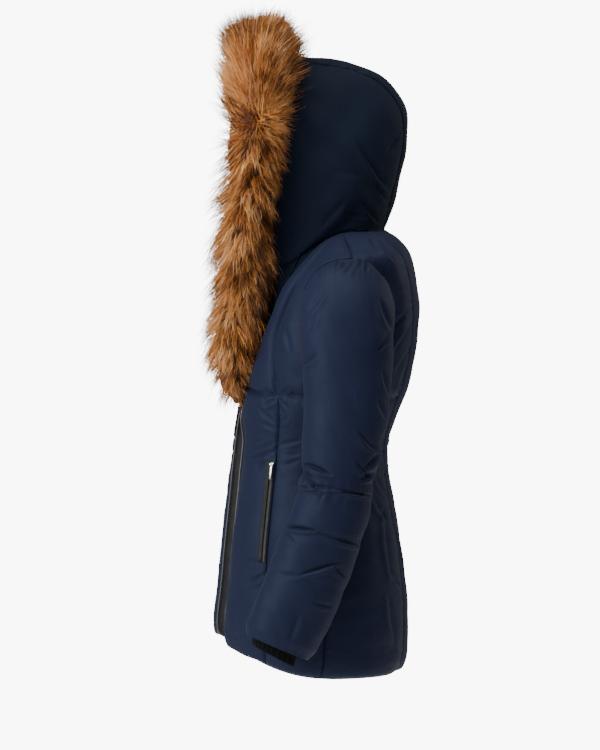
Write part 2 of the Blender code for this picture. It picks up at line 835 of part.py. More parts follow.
slider_columns = ("wide", "deep", "tall", "lug_wide", "pin_radius", "stand", "tab_wide", "tab_thick", "tab_long")
pin_play = 0.3 * mm
eye_wall = 0.9 * mm          # metal round the pin in a pull's eye
lug_cover = 1.0 * mm         # metal of the lugs past the pin
neck_reach = 2.0 * mm        # from a pull's eye to its tab
slider_taper = 0.72          # width of a slider's lower end
tab_taper = 0.8
tab_neck = 0.8               # the neck's width and thickness as a share of the tab's
slider_sizes = {             # stand is how far the pin lies in front of the slider's body
    "main": (9.0, 4.0, 13.0, 1.3, 0.9, 2.6, 9.0, 2.4, 38.0),
    "pocket": (5.4, 2.6, 9.0, 1.0, 0.6, 2.0, 3.8, 1.3, 21.0),
}


def slider_and_pull(slider_name, pull_name, kind, place, metal, tab_material):
    """A zip slider with two lugs and a pin, and the pull that swings on the pin. In the local frame the
    pin lies along X through the origin, the pull hangs along -Z and the front faces -Y."""
    size = {name: value * mm for name, value in zip(slider_columns, slider_sizes[kind])}
    eye_outer = size["pin_radius"] + pin_play + eye_wall
    body_y = size["stand"] + size["deep"] / 2
    lug_x = size["wide"] / 2 - size["lug_wide"] / 2
    lug_deep = size["stand"] + size["pin_radius"] + lug_cover
    lug_y = size["stand"] + lug_cover / 2 - lug_deep / 2
    lug_size = (size["lug_wide"], lug_deep, 4 * size["pin_radius"] + lug_cover)
    slider = joined(slider_name, [
        box_maker((size["wide"], size["deep"], size["tall"]), (0, body_y, -0.2 * size["tall"]), slider_taper),
        box_maker(lug_size, (lug_x, lug_y, 0)),
        box_maker(lug_size, (-lug_x, lug_y, 0)),
        rod_maker(size["pin_radius"], size["wide"] - size["lug_wide"]),
    ], [], metal, place)
    eye_wide = size["wide"] - 2 * size["lug_wide"] - 2 * pin_play
    neck = eye_outer + neck_reach
    tab_centre = (0, 0, -neck - size["tab_long"] / 2)
    pull = joined(pull_name, [
        rod_maker(eye_outer, eye_wide),
        box_maker((min(eye_wide, size["tab_wide"]) * tab_neck, size["tab_thick"] * tab_neck, neck),
                  (0, 0, -neck / 2 - size["pin_radius"] - 2 * pin_play)),
        box_maker((size["tab_wide"], size["tab_thick"], size["tab_long"]), tab_centre, tab_taper),
    ], [rod_maker(size["pin_radius"] + pin_play, size["wide"] * 2)], tab_material, place)
    return slider, pull


def place_on(point, outward, downward, side):
    """Frame with -Y out of the surface and -Z down along it, mirrored to a side of the coat."""
    outward = Vector((outward.x * side, outward.y, outward.z)).normalized()
    downward = Vector((downward.x * side, downward.y, downward.z)).normalized()
    downward = (downward - outward * downward.dot(outward)).normalized()
    back = -outward
    up = -downward
    right = back.cross(up)
    frame = Matrix((right, back, up)).transposed().to_4x4()
    frame.translation = Vector((point.x * side, point.y, point.z))
    return frame


def front_zip_place():
    """Pin of the front slider, in front of the closed zip just below where the fronts part."""
    level = slider_level
    ring = coat_ring(level)
    x = zip_line(level)
    here = ring_point(ring, angle_at_x(ring, x / mm))
    below = coat_ring(level - 0.7)
    under = ring_point(below, angle_at_x(below, x / mm))
    downward = (under - here).normalized()
    outward = Vector((0, downward.z, -downward.y))
    size = dict(zip(slider_columns, slider_sizes["main"]))
    stand = (size["stand"] + size["deep"]) * mm - tape_sunk + seam_gap
    return place_on(here + outward * stand, outward, downward, 1)


def pocket_place(grid, side):
    """Pin of a pocket's slider at the upper end of its zip."""
    row = pocket_rows[1]
    a = grid[row][-2]
    b = grid[row][-1]
    below = grid[row - 1][-2]
    downward = (below - a).normalized()
    outward = (a - below).cross(b - a).normalized()
    if outward.x < 0:
        outward = -outward
    middle = a.lerp(b, 0.5 * (pocket_zip_reach[0] + pocket_zip_reach[1]))
    size = dict(zip(slider_columns, slider_sizes["pocket"]))
    stand = (size["stand"] + size["deep"]) * mm + pocket_zip_lift + pocket_zip_thick + seam_gap
    point = middle + outward * stand + downward * (size["tall"] * 0.5 + 1.5) * mm
    return place_on(point, outward, downward, side)


def main():
    for item in list(bpy.data.objects):
        bpy.data.objects.remove(item)
    cloth = principled("navy_shell", (0.018, 0.026, 0.058), 0.45)
    fur = principled("fur", (0.40, 0.17, 0.05), 0.8)
    knit = principled("black_rib", (0.006, 0.006, 0.008), 0.9)
    leather = principled("black_leather", (0.016, 0.016, 0.017), 0.42)
    tape = principled("zip_tape", (0.012, 0.012, 0.014), 0.8)
    dark_metal = principled("dark_metal", (0.08, 0.08, 0.085), 0.35, 1.0)
    bright_metal = principled("bright_metal", (0.62, 0.62, 0.63), 0.25, 1.0)

    armholes = {"left": armhole_cutter("armhole_cutter_left", 1),
                "right": armhole_cutter("armhole_cutter_right", -1)}
    add_object("fur_ruff", ruff_maker(0.0), fur)
    ruff_space = add_object("ruff_cutter", ruff_maker(seam_gap), None)
    hide_cutter(ruff_space)

    def side_seam(level):
        return math.pi / 2

    def gusset_seam(row):
        return hood_turn_at_x(row, gusset_half + seam_gap / 2)

    for name, side in (("left", 1), ("right", -1)):
        def edge(level, side=side):
            return front_edge(level, side)

        front_grids = panel_grids(edge, front_seam, "front", 7)
        front = coat_panel("front_" + name, front_grids, cloth, side)
        boolean_cut(front, ruff_space)
        for part_name, start, end in (("side_front_", front_seam, side_seam), ("side_back_", side_seam, back_seam)):
            panel = coat_panel(part_name + name, panel_grids(start, end, "side", 5), cloth, side)
            boolean_cut(panel, armholes[name])

        sleeve_part("sleeve_upper_" + name, levels_between(0.0, elbow_station, 14), cloth, side)
        lower = levels_between(elbow_station + 0.008, float(sleeve_last), 8)
        sleeve_part("sleeve_lower_" + name, lower, cloth, side)
        cuff("cuff_" + name, knit, side)

        hood_side = hood_panel("hood_" + name, lambda row: 0.0, gusset_seam, hood_side_columns, cloth, side)
        boolean_cut(hood_side, ruff_space)
        stand = collar("collar_" + name, cloth, side)
        boolean_cut(stand, ruff_space)

        zip_tape("zip_tape_" + name, tape, side)
        grid = front_grids[0]
        facing = strip_on("zip_facing_" + name, grid, (0, zip_rows - 1), 0, (0.0, 1.0), seam_gap,
                          leather_thick, leather, side)
        boolean_cut(facing, ruff_space)
        strip_on("pocket_welt_" + name, grid, pocket_rows, len(grid[0]) - 2, pocket_welt_reach, seam_gap,
                 pocket_welt_thick, leather, side)
        strip_on("pocket_zip_" + name, grid, pocket_rows, len(grid[0]) - 2, pocket_zip_reach, pocket_zip_lift,
                 pocket_zip_thick, tape, side)
        slider_and_pull("pocket_slider_" + name, "pocket_pull_" + name, "pocket", pocket_place(grid, side),
                        bright_metal, bright_metal)

    slider_and_pull("main_slider", "main_pull", "main", front_zip_place(), dark_metal, leather)
    back_end = panel_grids(back_seam, lambda level: 2 * math.pi - back_seam(level), "back", 10)
    coat_panel("back", back_end, cloth)
    gusset = hood_panel("hood_centre", lambda row: hood_turn_at_x(row, gusset_half - seam_gap / 2),
                        lambda row: 2 - hood_turn_at_x(row, gusset_half - seam_gap / 2), 5, cloth)
    boolean_cut(gusset, ruff_space)


main()
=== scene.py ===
import math

import bmesh
import bpy
import numpy as np
from mathutils import Matrix, Vector


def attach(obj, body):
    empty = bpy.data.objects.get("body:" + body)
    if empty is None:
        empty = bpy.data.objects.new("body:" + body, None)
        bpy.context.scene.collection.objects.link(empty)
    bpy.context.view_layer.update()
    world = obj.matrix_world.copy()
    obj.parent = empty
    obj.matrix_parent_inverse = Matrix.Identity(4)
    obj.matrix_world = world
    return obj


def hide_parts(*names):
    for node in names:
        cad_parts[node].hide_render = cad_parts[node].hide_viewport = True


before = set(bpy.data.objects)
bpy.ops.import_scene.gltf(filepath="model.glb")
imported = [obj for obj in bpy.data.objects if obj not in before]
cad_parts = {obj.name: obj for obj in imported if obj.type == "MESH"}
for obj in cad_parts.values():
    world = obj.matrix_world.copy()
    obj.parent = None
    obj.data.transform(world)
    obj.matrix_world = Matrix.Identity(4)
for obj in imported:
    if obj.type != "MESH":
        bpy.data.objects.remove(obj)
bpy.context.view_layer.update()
mm = 0.001
scene = bpy.context.scene


# Shapes shared by all pieces: tables in millimetres, surfaces in metres.

coat = {
    "columns": ("sideZ", "frontZ", "backZ", "halfWidth", "frontY", "backY", "square", "openX", "frontSeamY",
                "backSeamX"),
    "stations": (   # hem to neckline
        (-726, -670, -729, 187, -205, 79, 2.3, 7.3, -148, 88),
        (-713, -664, -716, 196, -211, 91, 2.3, 7.3, -150, 90),
        (-680, -640, -685, 200, -212, 97, 2.3, 7.3, -150, 91),
        (-600, -588, -600, 199, -206, 96, 2.3, 7.3, -149, 88),
        (-525, -522, -525, 189, -200, 87, 2.3, 7.3, -146, 82),
        (-445, -445, -445, 168, -192, 75, 2.25, 7.3, -137, 74),
        (-365, -365, -365, 152, -184, 67, 2.2, 7.3, -128, 70),
        (-305, -308, -305, 159, -176, 79, 2.2, 7.3, -124, 76),
        (-252, -262, -252, 169, -167, 98, 2.25, 9, -127, 84),
        (-200, -222, -198, 176, -158, 110, 2.3, 27, -132, 90),
        (-140, -180, -143, 181, -146, 116, 2.3, 49, -127, 98),
        (-90, -142, -92, 183, -134, 114, 2.3, 65, -112, 109),
        (-48, -112, -52, 178, -123, 106, 2.3, 75, -95, 114),
        (-31, -92, -26, 150, -114, 98, 2.3, 81, -76, 110),
        (-15, -75, -4, 118, -104, 84, 2.3, 83, -52, 99),
        (1, -60, 10, 86, -90, 66, 2.3, 83, -24, 78),
    ),
    "frontReach": 0.19,
    "zipCentre": 4 * mm,
    "zipTopZ": -262 * mm,
    "zipSettlesOver": 60 * mm,
    "armholeY": -16 * mm,
    "armholeZ": -126 * mm,
    "armholeHalfWide": 72 * mm,
    "armholeHalfHigh": 79 * mm,
    "armholeSquare": 2.15,
}
coatTop = len(coat["stations"]) - 1

sleeve = {
    "columns": ("inX", "inZ", "outX", "outZ", "frontY", "backY", "frontRise"),
    "stations": (   # sleeve head to cuff
        (181, -207, 206, -54, -92, 54, 0),
        (186, -212, 236, -75, -97, 53, 0),
        (189, -219, 261, -112, -98, 50, 0),
        (190, -227, 277, -160, -96, 46, 0),
        (190, -243, 285, -217, -92, 43, 0),
        (190, -292, 290, -283, -91, 38, 0),
        (191, -350, 293, -346, -94, 27, 0),
        (193, -405, 295, -402, -98, 13, 2),
        (196, -457, 297, -455, -112, 4, 6),
        (200, -514, 299, -513, -134, -16, 11),
        (204, -581, 300, -580, -158, -43, 16),
        (208, -630, 300, -629, -176, -68, 20),
        (212, -666, 299, -665, -188, -90, 21),
    ),
    "stand": 0.8 * mm,
    "elbow": 8.35,
    "square": 2.2,
    "wall": 4 * mm,
}
sleeveEnd = len(sleeve["stations"])

cuffRib = {
    "stations": (
        (223, -648, 288, -647, -176, -102, 16),
        (226, -664, 285, -663, -178, -108, 17),
        (227, -680, 284, -679, -179, -112, 18),
    ),
    "sewnAt": 12.3,
    "wall": 2.2 * mm,
    "ribs": 28,
    "ribHeight": 1.3 * mm,
    "gap": 0.7 * mm,
}

hood = {
    "columns": ("row", "crownY", "crownZ", "halfWidth", "square", "startX", "startY", "startZ"),
    "arches": (     # face edge to neck seam
        (0.00, -92, 300, 99, 2.7, 70, -141, -50),
        (0.12, -40, 294, 104, 2.6, 71, -137, -51),
        (0.27, 12, 286, 108, 2.5, 73, -131, -52),
        (0.42, 62, 264, 110, 2.4, 75, -124, -52),
        (0.56, 98, 218, 110, 2.35, 77, -117, -52),
        (0.70, 103, 160, 107, 2.3, 79, -109, -51),
        (0.84, 91, 96, 100, 2.3, 80, -102, -50),
        (0.94, 76, 46, 91, 2.3, 80, -98, -49),
        (1.00, 67, 12, 84, 2.3, 79, -95, -47),
    ),
    "wall": 4 * mm,
    "neckAngle": math.radians(76),
    "neckShare": 0.32,
    "neckGap": 0.5 * mm,
    "edgeLift": 11 * mm,
    "gussetHalf": 40 * mm,
    "neckBlend": 0.72,
}

ruff = {
    "columns": ("x", "y", "z", "halfDeep", "halfHigh"),
    "stations": (   # lower tip to the top, left half
        (20, -177, -284, 4, 4),
        (25, -182, -262, 20, 15),
        (33, -189, -235, 29, 24),
        (44, -193, -195, 39, 32),
        (57, -190, -150, 45, 37),
        (70, -178, -95, 41, 38),
        (81, -169, -40, 43, 38),
        (92, -166, 25, 39, 40),
        (103, -153, 90, 39, 41),
        (110, -147, 150, 41, 42),
        (110, -143, 205, 47, 43),
        (98, -147, 255, 59, 44),
        (72, -139, 297, 67, 45),
        (38, -139, 320, 66, 46),
        (0, -141, 326, 62, 46),
    ),
}
ruffTop = len(ruff["stations"]) - 1


def slopesAt(keys, values):             # slope at each key, taken between its neighbours
    order = np.arange(len(keys))
    low = np.maximum(order - 1, 0)
    high = np.minimum(order + 1, len(keys) - 1)
    return (values[high] - values[low]) / (keys[high] - keys[low]).reshape(-1, *[1] * (values.ndim - 1))


def cubic(first, last, firstSlope, lastSlope, t):
    return (first * (1 + 2 * t) * (1 - t) ** 2 + last * t * t * (3 - 2 * t)
            + firstSlope * t * (1 - t) ** 2 + lastSlope * t * t * (t - 1))


def curveThrough(keys, values, at):     # smooth curve through rows of values at rising keys
    keys = np.asarray(keys, float)
    values = np.asarray(values, float)
    at = np.asarray(at, float)
    slopes = slopesAt(keys, values)
    span = np.clip(np.searchsorted(keys, at) - 1, 0, len(keys) - 2)
    step = (keys[span + 1] - keys[span])[..., None]
    t = np.clip((at - keys[span])[..., None] / step, 0, 1)
    return cubic(values[span], values[span + 1], slopes[span] * step, slopes[span + 1] * step, t)


def readTable(columns, rows, at, keys=None):
    found = curveThrough(range(len(rows)) if keys is None else keys, rows, at)
    return {name: found[..., i] for i, name in enumerate(columns)}


def power(value, exponent):
    return np.sign(value) * np.abs(value) ** exponent


def fade(value):                        # 0 below 0, 1 above 1, smooth between
    t = np.clip(value, 0, 1)
    return t * t * (3 - 2 * t)


def bell(value):
    return np.exp(-np.square(value))


def length(vectors):
    return np.sqrt((vectors * vectors).sum(-1))


def unit(vectors):
    return vectors / np.maximum(length(vectors), 1e-9)[..., None]


def stack(x, y, z):
    return np.stack(np.broadcast_arrays(x, y, z), -1)


def mirrored(points, side):
    return points * np.array((side, 1, 1))


def runAlong(points, axis=0, unitLength=1.0):   # distance run from the first point of each line
    run = np.cumsum(length(np.diff(points, axis=axis)) / unitLength, axis=axis)
    return np.concatenate((0 * run.take([0], axis), run), axis=axis)


def evenLevels(low, high, rows, pathAt, fine=600):   # levels at even steps along a path
    level = np.linspace(low, high, fine)
    run = runAlong(pathAt(level))
    return np.interp(np.linspace(0, run[-1], rows + 1), run, level)


def halve(low, high, isAbove, count):   # halves the span count times, keeping the half where isAbove turns
    for step in range(count):
        middle = (low + high) / 2
        above = isAbove(middle)
        low = np.where(above, middle, low)
        high = np.where(above, high, middle)
    return middle


def normalOf(surface, u, v, step, middle=None):
    across = surface(u + step, v) - surface(u - step, v)
    normal = unit(np.cross(across, surface(u, v + step) - surface(u, v - step)))
    if middle is not None:              # turned away from a point inside the form
        normal = normal * np.where((normal * (surface(u, v) - middle)).sum(-1) < 0, -1.0, 1.0)[..., None]
    return normal


def fullTurn(count):
    return np.linspace(0, 2 * math.pi, count, endpoint=False)


def waves(points, size, seed, count=9):     # smooth uneven noise from plane waves, about -1 to 1
    rng = np.random.default_rng(seed)
    total = 0
    for k in range(count):
        heading = unit(rng.normal(size=3))
        pitch = size * rng.uniform(0.65, 1.5)
        total = total + np.cos(points @ heading * 2 * math.pi / pitch + rng.uniform(0, 6.3))
    return total / math.sqrt(count) * 1.1


# Coat body's form.

def coatRing(level):
    return readTable(coat["columns"], coat["stations"], level)


def coatPoint(angle, level):            # 0 is the centre front, 90 degrees the left side
    ring = coatRing(level)
    forward = np.cos(angle)
    bend = 2 / ring["square"]
    x = ring["halfWidth"] * power(np.sin(angle), bend)
    y = (ring["frontY"] + ring["backY"]) / 2 - (ring["backY"] - ring["frontY"]) / 2 * power(forward, bend)
    front = (np.maximum(forward + coat["frontReach"], 0) / (1 + coat["frontReach"])) ** 2
    back = np.maximum(-forward, 0) ** 2
    z = ring["sideZ"] + (ring["frontZ"] - ring["sideZ"]) * front + (ring["backZ"] - ring["sideZ"]) * back
    return stack(x, y, z) * mm


def angleAtX(ring, x):
    return np.arcsin(np.clip(power(x / ring["halfWidth"], ring["square"] / 2), -1, 1))


def angleAtY(ring, y):
    centre = (ring["frontY"] + ring["backY"]) / 2
    half = (ring["backY"] - ring["frontY"]) / 2
    return np.arccos(power(np.clip((centre - y) / half, -1, 1), ring["square"] / 2))


def zipLine(level):
    below = coat["zipTopZ"] - coatRing(level)["frontZ"] * mm
    return coat["zipCentre"] * fade(below / coat["zipSettlesOver"])


def frontEdge(level, side):
    ring = coatRing(level)
    return angleAtX(ring, ring["openX"] + side * zipLine(level) / mm)


def frontSeam(level):
    ring = coatRing(level)
    return angleAtY(ring, ring["frontSeamY"])


def backSeam(level):
    ring = coatRing(level)
    return math.pi - angleAtX(ring, ring["backSeamX"])


def coatX(y, z):                        # how far out the coat's side lies at a point of the side view
    def sidePoint(level):
        return coatPoint(angleAtY(coatRing(level), y / mm), level)

    low = np.zeros(np.shape(y))
    return sidePoint(halve(low, low + coatTop, lambda level: sidePoint(level)[..., 2] < z, 26))[..., 0]


def armholeReach(points):               # 1 on the armhole's oval, more outside it
    wide = np.abs(points[..., 1] - coat["armholeY"]) / coat["armholeHalfWide"]
    high = np.abs(points[..., 2] - coat["armholeZ"]) / coat["armholeHalfHigh"]
    return (wide ** coat["armholeSquare"] + high ** coat["armholeSquare"]) ** (1 / coat["armholeSquare"])


# Sleeves' form.

def tubePoint(ring, turn, square):      # turn 0 is next to the coat, 90 degrees the back, 180 the outer side
    out = -power(np.cos(turn), 2 / square)
    back = power(np.sin(turn), 2 / square)
    x = (ring["inX"] + ring["outX"]) / 2 + (ring["outX"] - ring["inX"]) / 2 * out
    z = (ring["inZ"] + ring["outZ"]) / 2 + (ring["outZ"] - ring["inZ"]) / 2 * out
    y = (ring["frontY"] + ring["backY"]) / 2 + (ring["backY"] - ring["frontY"]) / 2 * back
    return stack(x, y, z - ring["frontRise"] * back) * mm


def armholeRing(turn, grow=0.0):
    bend = 2 / coat["armholeSquare"]
    y = coat["armholeY"] + (coat["armholeHalfWide"] + grow) * power(np.sin(turn), bend)
    z = coat["armholeZ"] - (coat["armholeHalfHigh"] + grow) * power(np.cos(turn), bend)
    return stack(coatX(y, z) + sleeve["stand"], y, z)


def sleevePoint(turn, level):
    turn, level = np.broadcast_arrays(turn, level)
    flat = turn.ravel()
    key, back = np.unique(np.round(flat % (2 * math.pi), 9), return_inverse=True)
    rings = [armholeRing(key)]
    for row in sleeve["stations"]:
        rings.append(tubePoint(dict(zip(sleeve["columns"], row)), key, sleeve["square"]))
    rings = np.stack(rings)             # ring, turn, xyz
    last = len(rings) - 1
    slopes = slopesAt(np.arange(last + 1), rings)
    at = np.clip(level.ravel(), 0, last)
    span = np.clip(np.floor(at).astype(int), 0, last - 1)
    made = cubic(rings[span, back], rings[span + 1, back], slopes[span, back], slopes[span + 1, back],
                 (at - span)[:, None])
    return made.reshape(turn.shape + (3,))


def sleeveMiddle(level):
    near = sleevePoint(np.zeros(np.shape(level)), level)
    return (near + sleevePoint(np.full(np.shape(level), math.pi), level)) / 2


# Hood's form.

hoodKeys = [row[0] for row in hood["arches"]]
hoodMiddle = np.array((0, -20, 110)) * mm


def neckPoint(rise):
    start = np.array(hood["arches"][-1][5:8]) * mm
    meeting = coatPoint(hood["neckAngle"], float(coatTop))
    low = np.clip(rise / hood["neckShare"], 0, 1)[..., None]
    lift = hood["neckGap"] + hood["edgeLift"] * np.sin(math.pi * low)
    front = start + (meeting - start) * low + lift * np.array((0, 0, 1))
    share = np.clip((rise - hood["neckShare"]) / (1 - hood["neckShare"]), 0, 1)
    back = coatPoint(hood["neckAngle"] + (math.pi - hood["neckAngle"]) * share, coatTop + 0 * share)
    back = back + np.array((0, 0, hood["neckGap"]))
    return np.where((rise < hood["neckShare"])[..., None], front, back)


def hoodPoint(row, turn):               # row 0 face edge to 1 neck; turn 0 left end, 1 crown, 2 right end
    row, turn = np.broadcast_arrays(np.asarray(row, float), np.asarray(turn, float))
    arch = readTable(hood["columns"], hood["arches"], row, hoodKeys)
    side = np.where(turn <= 1, 1.0, -1.0)
    rise = np.minimum(turn, 2 - turn)
    climb = power(np.sin(rise * math.pi / 2), 2 / arch["square"])
    narrow = arch["startX"] / arch["halfWidth"]
    widen = narrow + (1 - narrow) * fade(climb / 0.55)
    x = arch["halfWidth"] * power(np.cos(rise * math.pi / 2), 2 / arch["square"]) * widen
    y = arch["startY"] + (arch["crownY"] - arch["startY"]) * climb
    z = arch["startZ"] + (arch["crownZ"] - arch["startZ"]) * climb
    point = stack(x, y, z) * mm
    blend = fade((row - hood["neckBlend"]) / (1 - hood["neckBlend"]))[..., None]
    point = point + (neckPoint(rise) - point) * blend
    return point * stack(side, 1.0, 1.0)


def hoodTurnAtX(row, x):
    low = np.full(np.shape(row), 0.3)
    return halve(low, low + 0.7, lambda turn: hoodPoint(row, turn)[..., 0] > x, 24)


# Ruff's form.

def ruffRing(level):
    return readTable(ruff["columns"], ruff["stations"], np.minimum(level, 2 * ruffTop - level))


def ruffCentre(level):
    ring = ruffRing(level)
    return stack(np.where(level <= ruffTop, 1.0, -1.0) * ring["x"], ring["y"], ring["z"]) * mm


def ruffWays(level):                    # the ways to the back and to the upper edge, square to the line
    along = unit(ruffCentre(level + 0.05) - ruffCentre(level - 0.05))
    deep = unit(np.array((0.0, 1.0, 0.0)) - along * along[..., 1:2])
    return deep, np.cross(along, deep)


def ruffPoint(level, turn):             # turn 0 is the back, 180 degrees the front
    ring = ruffRing(level)
    deep, high = ruffWays(level)
    return (ruffCentre(level) + deep * (ring["halfDeep"] * mm * np.cos(turn))[..., None]
            + high * (ring["halfHigh"] * mm * np.sin(turn))[..., None])


print("surfaces ready")


# Materials.

def addNode(tree, kind, inputs, **settings):    # inputs are set to values or linked to sockets
    node = tree.nodes.new(kind)
    for title, value in settings.items():
        setattr(node, title, value)
    for title, value in inputs.items():
        if isinstance(value, bpy.types.NodeSocket):
            tree.links.new(value, node.inputs[title])
        else:
            node.inputs[title].default_value = value
    return node


def newGroup(name, inputs, outputs):    # a shader group of numbers
    tree = bpy.data.node_groups.new(name, "ShaderNodeTree")
    for title, value in inputs.items():
        tree.interface.new_socket(title, in_out="INPUT", socket_type="NodeSocketFloat").default_value = value
    for title in outputs:
        tree.interface.new_socket(title, in_out="OUTPUT", socket_type="NodeSocketFloat")
    return tree, tree.nodes.new("NodeGroupInput").outputs, tree.nodes.new("NodeGroupOutput").inputs


def mathNode(tree, operation, *values):
    return addNode(tree, "ShaderNodeMath", dict(enumerate(values)), operation=operation).outputs[0]


def mixColour(tree, mask, first, second):
    first, second = ((*value, 1.0) if isinstance(value, tuple) else value for value in (first, second))
    return addNode(tree, "ShaderNodeMix", {"Factor": mask, "A": first, "B": second},
                   data_type="RGBA").outputs["Result"]


def objectPlace(tree):
    return tree.nodes.new("ShaderNodeTexCoord").outputs["Object"]


def noiseNode(tree, scale, detail=3.0, rough=0.5, stretch=(1, 1, 1), distortion=0.0):
    place = addNode(tree, "ShaderNodeMapping", {"Vector": objectPlace(tree), "Scale": stretch})
    return addNode(tree, "ShaderNodeTexNoise", {
        "Vector": place.outputs["Vector"], "Scale": scale, "Detail": detail, "Roughness": rough,
        "Distortion": distortion}).outputs["Fac"]


def waveNode(tree, **inputs):           # bands across the height
    inputs = {title.replace("_", " "): value for title, value in inputs.items()}
    return addNode(tree, "ShaderNodeTexWave", {"Vector": objectPlace(tree), **inputs},
                   bands_direction="Z").outputs["Fac"]


def makeCrinkleGroup():     # soft crinkles of thin nylon over down, with its weave
    tree, inside, outside = newGroup("nylonCrinkle", {
        "Crinkle scale": 26.0, "Crinkle depth": 0.6, "Fine scale": 130.0, "Fine depth": 0.12,
        "Weave scale": 1500.0, "Weave depth": 0.02, "Fold scale": 10.0, "Fold depth": 1.3},
        ("Height", "Tone"))
    broad = noiseNode(tree, inside["Crinkle scale"], 3.0, 0.45, (1, 1, 0.7), 0.5)
    fine = noiseNode(tree, inside["Fine scale"], 3.0, 0.5, (1, 1, 0.55), 0.6)
    weave = noiseNode(tree, inside["Weave scale"], 1.0, 0.3)
    height = mathNode(tree, "MULTIPLY", broad, inside["Crinkle depth"])
    height = mathNode(tree, "MULTIPLY_ADD", fine, inside["Fine depth"], height)
    height = mathNode(tree, "MULTIPLY_ADD", weave, inside["Weave depth"], height)
    folds = noiseNode(tree, inside["Fold scale"], 2.0, 0.45, (1, 1, 0.7), 1.0)
    apart = mathNode(tree, "ABSOLUTE", mathNode(tree, "MULTIPLY_ADD", folds, 36.0, -18.0))
    crest = mathNode(tree, "MAXIMUM", mathNode(tree, "SUBTRACT", 1.0, apart), 0.0)
    patch = mathNode(tree, "MULTIPLY_ADD", noiseNode(tree, 6.0, 2.0), 7.0, -3.5)
    patch = mathNode(tree, "MINIMUM", mathNode(tree, "MAXIMUM", patch, 0.0), 1.0)
    folds = mathNode(tree, "MULTIPLY", mathNode(tree, "MULTIPLY", crest, patch), inside["Fold depth"])
    tree.links.new(mathNode(tree, "ADD", height, folds), outside["Height"])     # short creases, in patches
    tree.links.new(broad, outside["Tone"])
    return tree


def makeLeatherGroup():     # fine grain of leather
    tree, inside, outside = newGroup("leatherGrain", {"Grain scale": 900.0, "Grain depth": 1.0, "Wear": 0.3},
                                     ("Height", "Wear"))
    cells = addNode(tree, "ShaderNodeTexVoronoi", {
        "Vector": objectPlace(tree), "Scale": inside["Grain scale"]}, feature="DISTANCE_TO_EDGE")
    grain = mathNode(tree, "MINIMUM", cells.outputs["Distance"], 0.25)
    worn = mathNode(tree, "SUBTRACT", noiseNode(tree, 60.0, 4.0, 0.6), 0.4)
    worn = mathNode(tree, "MULTIPLY", worn, inside["Wear"])
    tree.links.new(mathNode(tree, "MULTIPLY", grain, inside["Grain depth"]), outside["Height"])
    tree.links.new(mathNode(tree, "MAXIMUM", worn, 0.0), outside["Wear"])
    return tree


crinkleGroup = makeCrinkleGroup()
leatherGroup = makeLeatherGroup()


def newMaterial(name, colour, roughness, metallic=0.0, **extra):
    made = bpy.data.materials.new(name)
    made.use_nodes = True
    shader = made.node_tree.nodes["Principled BSDF"]
    extra = {"Base_Color": (*colour, 1.0), "Roughness": roughness, "Metallic": metallic, **extra}
    for title, value in extra.items():
        shader.inputs[title.replace("_", " ")].default_value = value
    return made, made.node_tree, shader


def paint(tree, shader, mask, first, second):   # a colour between two, by a mask
    tree.links.new(mixColour(tree, mask, first, second), shader.inputs["Base Color"])


def addBump(tree, shader, height, strength, distance):
    bump = addNode(tree, "ShaderNodeBump", {"Strength": strength, "Distance": distance, "Height": height})
    tree.links.new(bump.outputs["Normal"], shader.inputs["Normal"])


nylon = {
    "shell": (0.0104, 0.0143, 0.039),
    "shellDeep": (0.0075, 0.0104, 0.0295),
    "hood": (0.0041, 0.0078, 0.0205),
    "hoodDeep": (0.0032, 0.0060, 0.0155),
    "roughness": 0.6,
    "bump": 0.3,
    "bumpHeight": 0.0012,
}


def makeNylon(name, light, deep, rougher=0.0, flatter=1.0):
    roughness = nylon["roughness"] + rougher
    made, tree, shader = newMaterial(name, light, roughness, Specular_IOR_Level=0.16, Sheen_Weight=0.02,
                                     Sheen_Roughness=0.5, Specular_Tint=(0.70, 0.82, 1.0, 1.0))
    crinkle = addNode(tree, "ShaderNodeGroup", {}, node_tree=crinkleGroup).outputs
    paint(tree, shader, noiseNode(tree, 9.0, 2.0), light, deep)
    rough = mathNode(tree, "MULTIPLY_ADD", crinkle["Tone"], 0.14, roughness - 0.07)
    tree.links.new(rough, shader.inputs["Roughness"])
    addBump(tree, shader, crinkle["Height"], nylon["bump"], nylon["bumpHeight"] * flatter)
    return made


def makeKnit():
    made, tree, shader = newMaterial("blackRibKnit", (0.003, 0.003, 0.004), 0.95, Sheen_Weight=0.04,
                                     Sheen_Roughness=0.5, Specular_IOR_Level=0.1)
    courses = waveNode(tree, Scale=190.0, Distortion=1.5, Detail_Scale=6.0)
    fuzz = noiseNode(tree, 900.0, 3.0)
    paint(tree, shader, fuzz, (0.002, 0.002, 0.0025), (0.006, 0.006, 0.0075))
    addBump(tree, shader, mathNode(tree, "MULTIPLY_ADD", fuzz, 0.6, courses), 0.5, 0.0006)
    return made


def makeLeather(name, colour, roughness, shine):
    made, tree, shader = newMaterial(name, colour, roughness, Specular_IOR_Level=shine)
    grain = addNode(tree, "ShaderNodeGroup", {}, node_tree=leatherGroup).outputs
    paint(tree, shader, grain["Wear"], colour, (0.05, 0.05, 0.053))
    tree.links.new(mathNode(tree, "SUBTRACT", roughness, grain["Wear"]), shader.inputs["Roughness"])
    addBump(tree, shader, grain["Height"], 0.35, 0.0006)
    return made


def makeTape():
    made, tree, shader = newMaterial("blackZipTape", (0.010, 0.010, 0.012), 0.85, Sheen_Weight=0.2)
    cord = waveNode(tree, Scale=320.0)
    paint(tree, shader, cord, (0.008, 0.008, 0.009), (0.016, 0.016, 0.018))
    addBump(tree, shader, cord, 0.4, 0.0004)
    return made


